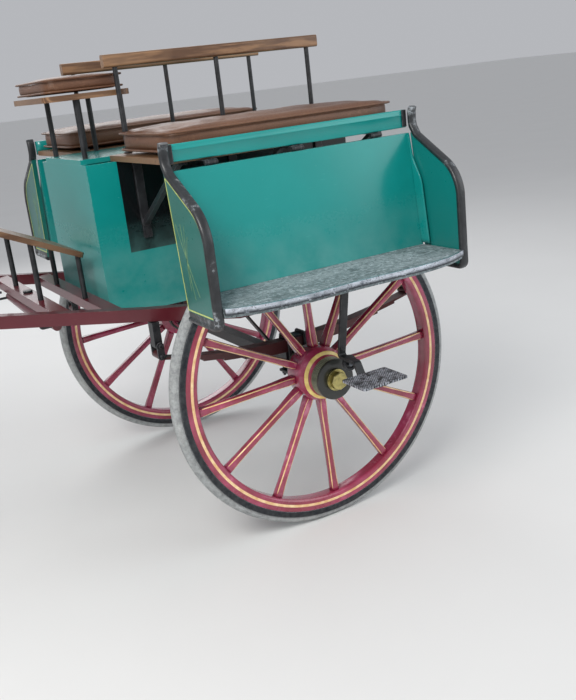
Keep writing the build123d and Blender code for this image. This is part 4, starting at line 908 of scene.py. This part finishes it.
class SIDECAR_OT_footboards(bpy.types.Operator):
    """Folding footboards: beading and lining of the wings, nosing screws, step bolts and step eye"""
    bl_idname = "sidecar.footboards"
    bl_label = "Footboards"

    def execute(self, context):
        settings = context.scene.sidecar_wings
        for side_name, side in SIDES:
            body = f"{side_name}_footboard_unit"
            self.beading(side_name, side, body, settings)
            self.lining(side_name, side, body, settings)
            self.nosing(side_name, side, body)
            self.step(side_name, side, body)
        return {"FINISHED"}

    def beading(self, side_name, side, body, settings):
        """A fat rounded bead carried round each wing."""
        low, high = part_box("left_wing_edging")
        width = 0.030
        line = wing_line(0.005)
        horn = np.array([(low.y + 0.0065, high.z + 0.066), (low.y + 0.0015, high.z + 0.052),
                         (low.y + 0.0005, high.z + 0.036), (low.y + 0.0010, high.z + 0.020),
                         (low.y + 0.0035, high.z + 0.006)]) + [settings.horn_out, 0.0]
        line = np.concatenate([horn, line[1:]])
        outward = outward_of(line)
        outline = rounded(width / 2, 0.009, settings.bead_power, 24)
        parts = []
        for number, middle in enumerate((high.x - width / 2, low.x + width / 2)):
            path = np.stack([np.full(len(line), middle), side * line[:, 0], line[:, 1]], -1)
            up = np.stack([np.zeros(len(line)), side * outward[:, 0], outward[:, 1]], -1)
            along = np.tile([1.0, 0.0, 0.0], (len(line), 1))
            parts.append(skin(f"bead_{number}", carried(outline, path, along, up), "edging", "black_iron",
                              body, close_u=True, cap=True, flip=side < 0))
        made = joined(f"{side_name}_beading", parts)
        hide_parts(f"{side_name}_wing_edging")

    def lining(self, side_name, side, body, settings):
        """The yellow line round each wing's outer face, a sheaf of thin strokes, and the black foot band."""
        line = wing_line(-settings.line_inset)
        low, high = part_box("left_wings")
        foot_z = low.z + 0.023
        kept = line[line[:, 1] > foot_z + 0.004]
        front_foot = np.array([kept[-1, 0], foot_z])
        heel_low = np.array([low.y + 0.0405, foot_z])
        heel_top = np.array([low.y + 0.006, high.z - 0.016])
        closed = np.concatenate([kept[1:], [front_foot, heel_low, heel_top]])
        tops = np.array([(0.034, -0.139), (0.066, -0.137), (0.090, -0.140), (0.104, -0.170)]) + [low.y, high.z]
        feet = np.array([(0.134, 0.074), (0.104, 0.062), (0.082, 0.084), (0.090, 0.110)]) + [low.y, low.z]
        waist = np.array([low.y + 0.073, low.z + 0.178])
        lines, strokes, bands = [], [], []
        for face_x, ahead in wing_faces():
            lines.append(self.stroke(closed, settings.line_width, face_x, ahead, side, body, True, "yellow"))
            sway = np.linspace(0, 1, 11)[:, None]
            for start, stop in zip(tops, feet):
                run = start * (1 - sway) ** 2 + 2 * waist * sway * (1 - sway) + stop * sway ** 2
                strokes.append(self.stroke(run, 0.0021, face_x, ahead, side, body, False, "faint"))
            band = np.array([(low.y + 0.044, low.z), (high.y - 0.012, low.z), (high.y - 0.002, low.z + 0.010),
                             (high.y - 0.002, low.z + 0.018), (low.y + 0.0425, low.z + 0.018)])
            bands.append(self.plate(band, face_x, ahead, 0.0012, side, body))
        joined(f"{side_name}_wing_lines", lines)
        joined(f"{side_name}_wing_strokes", strokes)
        joined(f"{side_name}_wing_foot_bands", bands)

    def plate(self, outline, face_x, ahead, thickness, side, body):
        """A thin plate on a wing's outer face, inside an outline of (y, z)."""
        levels = np.array([-0.0005, thickness])
        grid = np.stack([np.stack([np.full(len(outline), face_x + ahead * level), side * outline[:, 0],
                                   outline[:, 1]], -1) for level in levels], 1)
        return skin("plate", grid, "edging", "black_iron", body, close_u=True, cap=True,
                    flip=(ahead * side) < 0, smooth=False)

    def stroke(self, run, width, face_x, ahead, side, body, loop, finish):
        """A thin raised strip of paint along a run of (y, z) on a wing's outer face."""
        after = np.roll(run, -1, 0) - run
        before = run - np.roll(run, 1, 0)
        if not loop:
            after[-1], before[0] = before[-1], after[0]
        after, before = unit(after), unit(before)
        tangent = unit(after + before)
        crosswise = np.stack([-tangent[:, 1], tangent[:, 0]], -1)
        stretch = 1 / np.clip(np.abs(np.sum(crosswise * np.stack([-after[:, 1], after[:, 0]], -1), 1)), 0.5, 1)
        offsets = (width / 2) * stretch[:, None] * crosswise
        lift = 0.0004
        corners = [(run - offsets, lift), (run + offsets, lift), (run + offsets, -lift), (run - offsets, -lift)]
        grid = np.stack([np.stack([np.full(len(run), face_x + ahead * up), side * yz[:, 0], yz[:, 1]], -1)
                         for yz, up in corners])
        return skin("stroke", grid, finish, "dark_green_paint", body, close_u=True, close_v=loop,
                    cap=not loop, flip=(ahead * side) > 0, smooth=False)

    def nosing(self, side_name, side, body):
        """Round-headed screws along the nosing."""
        low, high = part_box("left_footboard_nosing")
        middle = (low.x + high.x) / 2
        half = (high.x - low.x) / 2
        heads = []
        for number, share in enumerate(np.linspace(-0.72, 0.72, 7)):
            front = high.y - 0.014 * (share / 0.8) ** 2 - 0.0002
            place = (middle + share * half, side * front, high.z - 0.008)
            heads.append(disc_bolt(f"nosing_screw_{number}", place, (0, side, 0), 0.0032, 0.0012, body,
                                   "nosing_metal", "nosing_metal", 12))
        joined(f"{side_name}_nosing_screws", heads)

    def step(self, side_name, side, body):
        """Bolts that hold the step iron to the board and the tread to the iron."""
        low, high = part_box("left_step_iron")
        middle = (low.x + high.x) / 2
        tread_low, tread_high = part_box("left_step_tread")
        heads = []
        foot_y = 0.806
        for along in (-0.019, 0.019):
            for out in (-0.020, 0.020):
                heads.append(disc_bolt("foot_bolt", (middle + along, side * (foot_y + out), high.z - 0.007),
                                       (0, 0, -1), 0.0055, 0.004, body))
        for out in (0.25, 0.72):
            place = tread_low.y + (tread_high.y - tread_low.y) * out
            heads.append(disc_bolt("tread_rivet", (middle, side * place, tread_high.z), (0, 0, 1), 0.006,
                                   0.0025, body, sides=12))
        heads.append(disc_bolt("stay_bolt", (middle, side * 0.750, AXLE.z + 0.112), (0, side, 0), 0.0085,
                               0.006, body))
        joined(f"{side_name}_step_bolts", heads)
        self.eye(side_name, side, body, middle)

    def eye(self, side_name, side, body, middle):
        """The forged eye under the bend of each step iron: a flat ring turned about +Y, with a bright pin."""
        centre = np.array([middle - 0.017, side * 0.7580, AXLE.z + 0.060])
        profile = np.array([(0.0175, -0.0045), (0.0175, 0.0045), (0.0265, 0.0045), (0.0265, -0.0045)])
        fillet = np.array([(0.0185, -0.0055), (0.0185, 0.0055), (0.0255, 0.0055), (0.0255, -0.0055)])
        loop = np.stack([profile, fillet], 1)
        loop[1::2] = loop[1::2, ::-1]
        loop = loop.reshape(-1, 2)
        angle = np.arange(48)[:, None] * 2 * np.pi / 48
        x = centre[0] - loop[:, 0] * np.cos(angle)
        z = centre[2] + loop[:, 0] * np.sin(angle)
        y = np.broadcast_to(centre[1] + side * loop[:, 1], x.shape)
        parts = [skin("eye", np.stack([x, y, z], -1), "black_iron", "black_iron", body, close_u=True,
                      close_v=True, flip=side > 0)]
        parts.append(disc_bolt("eye_pin", centre - [0, side * 0.0045, 0], (0, side, 0), 0.0175, 0.006, body,
                               sides=24))
        joined(f"{side_name}_step_eye", parts)
        disc_bolt(f"{side_name}_step_eye_stud", centre + [0, side * 0.0015, 0], (0, side, 0), 0.0095, 0.012,
                  body, "nosing_metal", "nosing_metal", 16)


# ---- body ------------------------------------------------------------------------------------
class SIDECAR_OT_body(bpy.types.Operator):
    """Body: moulded seat rails and corner battens"""
    bl_idname = "sidecar.body"
    bl_label = "Body"

    def execute(self, context):
        self.rails()
        for side_name, side in SIDES:
            self.battens(side_name, side)
        return {"FINISHED"}

    def rails(self):
        """Each rail: one moulded section carried from end to end, its foot rising toward the front."""
        low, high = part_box("seat_rails")
        share = np.linspace(0, 1, 40)
        x = low.x + (high.x - low.x) * share
        parts = []
        for side in (1, -1):
            foot = low.z + 0.007 * np.clip(share * 1.6 - 0.6, 0, 1)
            depth, inner = high.y, high.y - 0.020
            section = np.array([(inner, 0.0, 0), (depth - 0.0035, 0.0, 0), (depth - 0.0018, 0.0014, 0),
                                (depth - 0.0015, 0.0040, 0), (depth - 0.0015, -0.0190, 1),
                                (depth - 0.0004, -0.0178, 1), (depth, -0.0160, 1), (depth - 0.0004, -0.0142, 1),
                                (depth - 0.0015, -0.0130, 1), (depth - 0.0015, -0.0050, 1),
                                (depth - 0.0028, -0.0018, 1), (depth - 0.0060, 0.0, 1), (inner + 0.004, 0.0, 1),
                                (inner, -0.003, 1)])
            base = np.where(section[:, 2:] > 0, high.z, foot[None])
            grid = np.stack([np.broadcast_to(x, base.shape), np.broadcast_to(side * section[:, :1], base.shape),
                             base + section[:, 1:2]], -1)
            parts.append(skin("rail", grid, "teal_paint", "teal_paint", "car_body", close_u=True, cap=True,
                              flip=side < 0))
        made = joined("moulded_seat_rails", parts)
        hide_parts("seat_rails")

    def battens(self, side_name, side):
        """A narrow upright batten in each corner between panel and wing, from the footboard to the top.

        It is 40 mm deep below. Above, its depth is what is left between the panel and the seat rail when the
        footboard is folded over: rail gap plus sin(fold) times the drop below the pin, over -cos(fold).
        """
        panel_low, panel_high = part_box(f"{side_name}_footboard_panel")
        wing_low, wing_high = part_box("left_wings")
        board_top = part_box("left_footboard")[1].z
        rail_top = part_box("seat_rails")[1].z
        rail_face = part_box("seat_irons")[1].y
        top_y, foot_y = wing_low.y, wing_low.y + 0.0368
        pin_y, pin_z = wing_low.y - PIN_IN, wing_high.z + PIN_UP
        steps = 28
        rise = np.linspace(0.02, 0.985, steps)
        z = board_top + (wing_high.z - board_top) * rise
        face = foot_y + (top_y - foot_y) * rise
        drop = pin_z - z
        spare = (pin_y - rail_face - 0.0008 + math.sin(FOLDED) * drop) / -math.cos(FOLDED) - (face - pin_y)
        past = np.clip((drop - (rail_top - pin_z + 0.008)) / 0.10, 0.0, 1.0)
        half = (spare + (0.040 - spare) * past ** 2 * (3.0 - 2.0 * past)) / 2
        parts = []
        for edge, inward in ((panel_high.x, -1), (panel_low.x, 1)):
            section = rounded(0.0035, 1.0, 6.0, 20)
            path = np.stack([np.full(steps, edge + inward * 0.0035), side * (face + half), z], -1)
            along = np.tile([1.0, 0.0, 0.0], (steps, 1))
            out = np.stack([0 * half, side * half, 0 * half], -1)
            parts.append(skin("batten", carried(section, path, along, out), "teal_paint", "teal_paint",
                              f"{side_name}_footboard_unit", close_u=True, cap=True, flip=side > 0))
        joined(f"{side_name}_corner_battens", parts)


# ---- cushions --------------------------------------------------------------------------------
def cushion_shape(low, high, shrink, bow):
    """A closed block between two corners: sides drawn in between the corners by bow, edges rounded."""
    centre = (np.array(low) + np.array(high)) / 2
    half = (np.array(high) - np.array(low)) / 2 - shrink
    steps = 24
    polar = np.linspace(0, np.pi, steps)
    round_ = np.arange(2 * steps) * np.pi / steps
    ball = np.stack([np.outer(np.cos(round_), np.sin(polar)), np.outer(np.sin(round_), np.sin(polar)),
                     np.outer(np.ones_like(round_), np.cos(polar))], -1)
    square = np.sign(ball) * np.abs(ball) ** 0.22
    inset = 1 - bow * (1 - square[..., [1, 0]] ** 2)
    square[..., 0] *= inset[..., 0]
    square[..., 1] *= inset[..., 1]
    return centre + square * half


class SIDECAR_OT_cushions(bpy.types.Operator):
    """Cushions: leather pads stuffed by cloth simulation, then piped and buttoned"""
    bl_idname = "sidecar.cushions"
    bl_label = "Cushions"

    def execute(self, context):
        settings = context.scene.sidecar_cushions
        for node, columns, rows in (("left_cushion", 5, 2), ("right_cushion", 5, 2), ("driver_cushion", 2, 2)):
            low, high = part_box(node)
            piece = skin(f"{node}_leather", cushion_shape(low, high, 0.006, 0.012), "brown_leather",
                         "brown_leather", "car_body", close_u=True, flip=True)
            self.shape(piece, low, high, columns, rows, settings)
            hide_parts(node)
            self.trim(piece, node, low, high, columns, rows)
        return {"FINISHED"}

    def shape(self, piece, low, high, columns, rows, settings):
        """Remesh, stuff by simulation with the button points held down, and smooth."""
        remesh = piece.modifiers.new("even", "REMESH")
        remesh.mode = "VOXEL"
        remesh.voxel_size = settings.voxel
        self.bake(piece)
        mesh = piece.data
        rest = read(mesh.vertices, "co", 3, float).reshape(-1, 3)
        buttons = button_places(low, high, columns, rows)
        spread = np.min(np.linalg.norm(rest[:, None, :2] - buttons[None, :, :2], axis=2), axis=1)
        upper = (rest[:, 2] - low.z) / (high.z - low.z)
        held = (upper < 0.12) | ((spread < 0.012) & (upper > 0.6))
        group = piece.vertex_groups.new(name="held")
        group.add(np.nonzero(held)[0].tolist(), 1.0, "REPLACE")
        pull = np.where(upper > 0.6, np.exp(-(spread / 0.022) ** 2), 0.0)
        rest[:, 2] -= 0.020 * pull
        mesh.vertices.foreach_set("co", rest.ravel())
        cloth = piece.modifiers.new("stuffing", "CLOTH")
        cloth.settings.use_pressure = True
        cloth.settings.uniform_pressure_force = settings.pressure
        cloth.settings.effector_weights.gravity = 0.0
        cloth.settings.vertex_group_mass = "held"
        cloth.settings.pin_stiffness = 1.0
        cloth.settings.quality = 5
        for number in range(1, 17):
            bpy.context.scene.frame_set(number)
        swollen = self.evaluated(piece)
        piece.modifiers.remove(cloth)
        move = swollen - rest
        size = np.linalg.norm(move, axis=1, keepdims=True)
        move *= np.minimum(1.0, 0.009 / np.maximum(size, 1e-9))
        rest = rest + move
        bpy.context.scene.frame_set(1)
        floor = np.array(low)
        ceiling = np.array(high) + np.array([0.004, 0.0, 0.008])
        rest = np.clip(rest, floor + np.array([-0.004, 0.0, 0.0]), ceiling)
        mesh.vertices.foreach_set("co", rest.ravel())
        mesh.polygons.foreach_set("use_smooth", [True] * len(mesh.polygons))
        mesh.update()
        smooth = piece.modifiers.new("even", "SMOOTH")
        smooth.factor = 0.4
        smooth.iterations = 2
        self.bake(piece)
        finer = piece.modifiers.new("fine", "SUBSURF")
        finer.levels = 1
        finer.render_levels = 1
        self.bake(piece)

    def evaluated(self, piece):
        """Where the modifiers put the piece's points."""
        graph = bpy.context.evaluated_depsgraph_get()
        shown = piece.evaluated_get(graph)
        return read(shown.data.vertices, "co", 3, float).reshape(-1, 3)

    def bake(self, piece):
        """Apply the piece's modifiers to its mesh."""
        graph = bpy.context.evaluated_depsgraph_get()
        made = bpy.data.meshes.new_from_object(piece.evaluated_get(graph))
        piece.modifiers.clear()
        piece.data = made
        made.polygons.foreach_set("use_smooth", [True] * len(made.polygons))
        if not made.materials:
            made.materials.append(finish_of("brown_leather"))

    def trim(self, piece, node, low, high, columns, rows):
        """Piping round the top and foot of the cushion, and a leather button in each dimple."""
        parts = []
        for level in (0.80, 0.20):
            z = low.z + (high.z - low.z) * level
            angle = np.linspace(0, 2 * np.pi, 160, endpoint=False)
            cosine, sine = np.cos(angle), np.sin(angle)
            half_x, half_y = (high.x - low.x) / 2 - 0.004, (high.y - low.y) / 2 - 0.003
            x = (low.x + high.x) / 2 + half_x * np.sign(cosine) * np.abs(cosine) ** 0.16
            y = (low.y + high.y) / 2 + half_y * np.sign(sine) * np.abs(sine) ** 0.16
            path = np.stack([x, y, np.full_like(x, z)], -1)
            tangent = unit(np.roll(path, -1, 0) - np.roll(path, 1, 0))
            out = np.cross(tangent, [0.0, 0.0, 1.0])
            up = np.tile([0.0, 0.0, 1.0], (len(path), 1))
            parts.append(skin("piping", carried(rounded(0.0035, 0.0035, 2.0, 8), path, out, up),
                              "brown_leather", "brown_leather", "car_body", close_u=True, close_v=True))
        joined(f"{node}_piping", parts)
        points = read(piece.data.vertices, "co", 3, float).reshape(-1, 3)
        buttons = []
        for number, place in enumerate(button_places(low, high, columns, rows)):
            close = (np.linalg.norm(points[:, :2] - place[:2], axis=1) < 0.008) & (
                points[:, 2] > (low.z + high.z) / 2)
            top = points[close, 2].mean() if close.any() else high.z - 0.02
            buttons.append(disc_bolt(f"button_{number}", (place[0], place[1], top - 0.001), (0, 0, 1), 0.0085,
                                     0.004, "car_body", "brown_leather", "brown_leather", 16))
        joined(f"{node}_buttons", buttons)


def button_places(low, high, columns, rows):
    """Centres of the buttons, in even rows."""
    x = low.x + (high.x - low.x) * (np.arange(columns) + 0.5) / columns
    y = low.y + (high.y - low.y) * (np.arange(rows) + 0.5) / rows
    grid = np.stack(np.meshgrid(x, y), -1).reshape(-1, 2)
    return np.concatenate([grid, np.full((len(grid), 1), high.z)], 1)


# ---- finishes on the carried-over nodes --------------------------------------------------------
class SIDECAR_OT_finishes(bpy.types.Operator):
    """Finishes: paint, iron, wood, leather and rubber on every piece that keeps its CAD shape"""
    bl_idname = "sidecar.finishes"
    bl_label = "Finishes"

    def execute(self, context):
        slots = {entry["node"]: entry["material_slot"] for entry in frame["record"]["subparts"]}
        for name, piece in frame["nodes"].items():
            material = finish_of(slots[name])
            piece.data.materials.clear()
            piece.data.materials.append(material)
        return {"FINISHED"}


# ---- stage -----------------------------------------------------------------------------------
class SIDECAR_OT_stage(bpy.types.Operator):
    """Stage: camera, soft lights and a pale floor"""
    bl_idname = "sidecar.stage"
    bl_label = "Stage"

    def execute(self, context):
        settings = context.scene.sidecar_stage
        scene = context.scene
        camera = bpy.data.objects.new("camera", bpy.data.cameras.new("camera"))
        scene.collection.objects.link(camera)
        camera.data.lens = settings.lens
        camera.data.sensor_width = 36.0
        camera.data.clip_start = 0.05
        camera.location = settings.place
        ahead = Vector((math.cos(settings.tilt) * math.cos(settings.heading),
                        math.cos(settings.tilt) * math.sin(settings.heading), math.sin(settings.tilt)))
        camera.rotation_mode = "QUATERNION"
        camera.rotation_quaternion = ahead.to_track_quat("-Z", "Y") @ Quaternion((0, 0, 1), settings.roll)
        scene.camera = camera
        self.floor()
        self.light("key", (2.2, 2.9, 4.0), (-0.8, 0.5, 0.5), 2.2, 175.0, (1.0, 0.98, 0.95))
        self.light("fill", (-4.4, 3.2, 2.8), (-0.8, 0.3, 0.8), 3.6, 70.0, (0.94, 0.97, 1.0))
        self.light("back", (-1.2, -4.2, 3.4), (-0.8, 0.0, 0.8), 3.6, 80.0, (1.0, 1.0, 1.0))
        world = bpy.data.worlds.new("studio")
        world.use_nodes = True
        backdrop = world.node_tree.nodes["Background"]
        backdrop.inputs["Color"].default_value = (0.93, 0.95, 1.0, 1.0)
        backdrop.inputs["Strength"].default_value = 0.50
        scene.world = world
        scene.view_settings.view_transform = "Standard"
        return {"FINISHED"}

    def floor(self):
        """A wide pale floor just under the wheels."""
        mesh = bpy.data.meshes.new("floor")
        reach = 80.0
        mesh.from_pydata([(-reach, -reach, 0), (reach, -reach, 0), (reach, reach, 0), (-reach, reach, 0)], [],
                         [(0, 1, 2, 3)])
        paint = Paint("floor_paint", roughness=0.8)
        cloud = paint.noise(1.5, 3.0)
        mesh.materials.append(paint.finish(paint.mix(cloud, (0.76, 0.76, 0.75), (0.80, 0.80, 0.79)), edge=0.0))
        floor = bpy.data.objects.new("floor", mesh)
        bpy.context.scene.collection.objects.link(floor)

    def light(self, name, place, aim, size, power, colour):
        """A square soft light that looks at a point."""
        data = bpy.data.lights.new(name, "AREA")
        data.size = size
        data.energy = power
        data.color = colour
        lamp = bpy.data.objects.new(name, data)
        lamp.location = place
        lamp.rotation_mode = "QUATERNION"
        lamp.rotation_quaternion = (Vector(aim) - Vector(place)).to_track_quat("-Z", "Y")
        bpy.context.scene.collection.objects.link(lamp)


OPERATORS = (SIDECAR_OT_finishes, SIDECAR_OT_wheels, SIDECAR_OT_footboards, SIDECAR_OT_body,
             SIDECAR_OT_cushions, SIDECAR_OT_stage)
SETTINGS = {"sidecar_wheels": WheelSettings, "sidecar_wings": WingSettings,
            "sidecar_cushions": CushionSettings, "sidecar_paints": PaintSettings,
            "sidecar_stage": StageSettings}


class SIDECAR_PT_panel(bpy.types.Panel):
    """Lists the steps that build the side car"""
    bl_idname = "SIDECAR_PT_panel"
    bl_label = "Side car"
    bl_space_type = "VIEW_3D"
    bl_region_type = "UI"
    bl_category = "Side car"

    def draw(self, context):
        for operator in OPERATORS:
            self.layout.operator(operator.bl_idname)
        for key in SETTINGS:
            for name in getattr(context.scene, key).bl_rna.properties.keys():
                if name not in ("rna_type", "name"):
                    self.layout.prop(getattr(context.scene, key), name)


def register():
    """Add the settings, the operators and the panel."""
    for key, group in SETTINGS.items():
        bpy.utils.register_class(group)
        setattr(bpy.types.Scene, key, bpy.props.PointerProperty(type=group))
    for item in (*OPERATORS, SIDECAR_PT_panel):
        bpy.utils.register_class(item)


def unregister():
    """Take them away again."""
    for item in (SIDECAR_PT_panel, *reversed(OPERATORS)):
        bpy.utils.unregister_class(item)
    for key, group in SETTINGS.items():
        delattr(bpy.types.Scene, key)
        bpy.utils.unregister_class(group)


def main():
    """Build everything in order."""
    register()
    for operator in OPERATORS:
        group, name = operator.bl_idname.split(".")
        getattr(getattr(bpy.ops, group), name)()


if __name__ == "__main__":
    main()
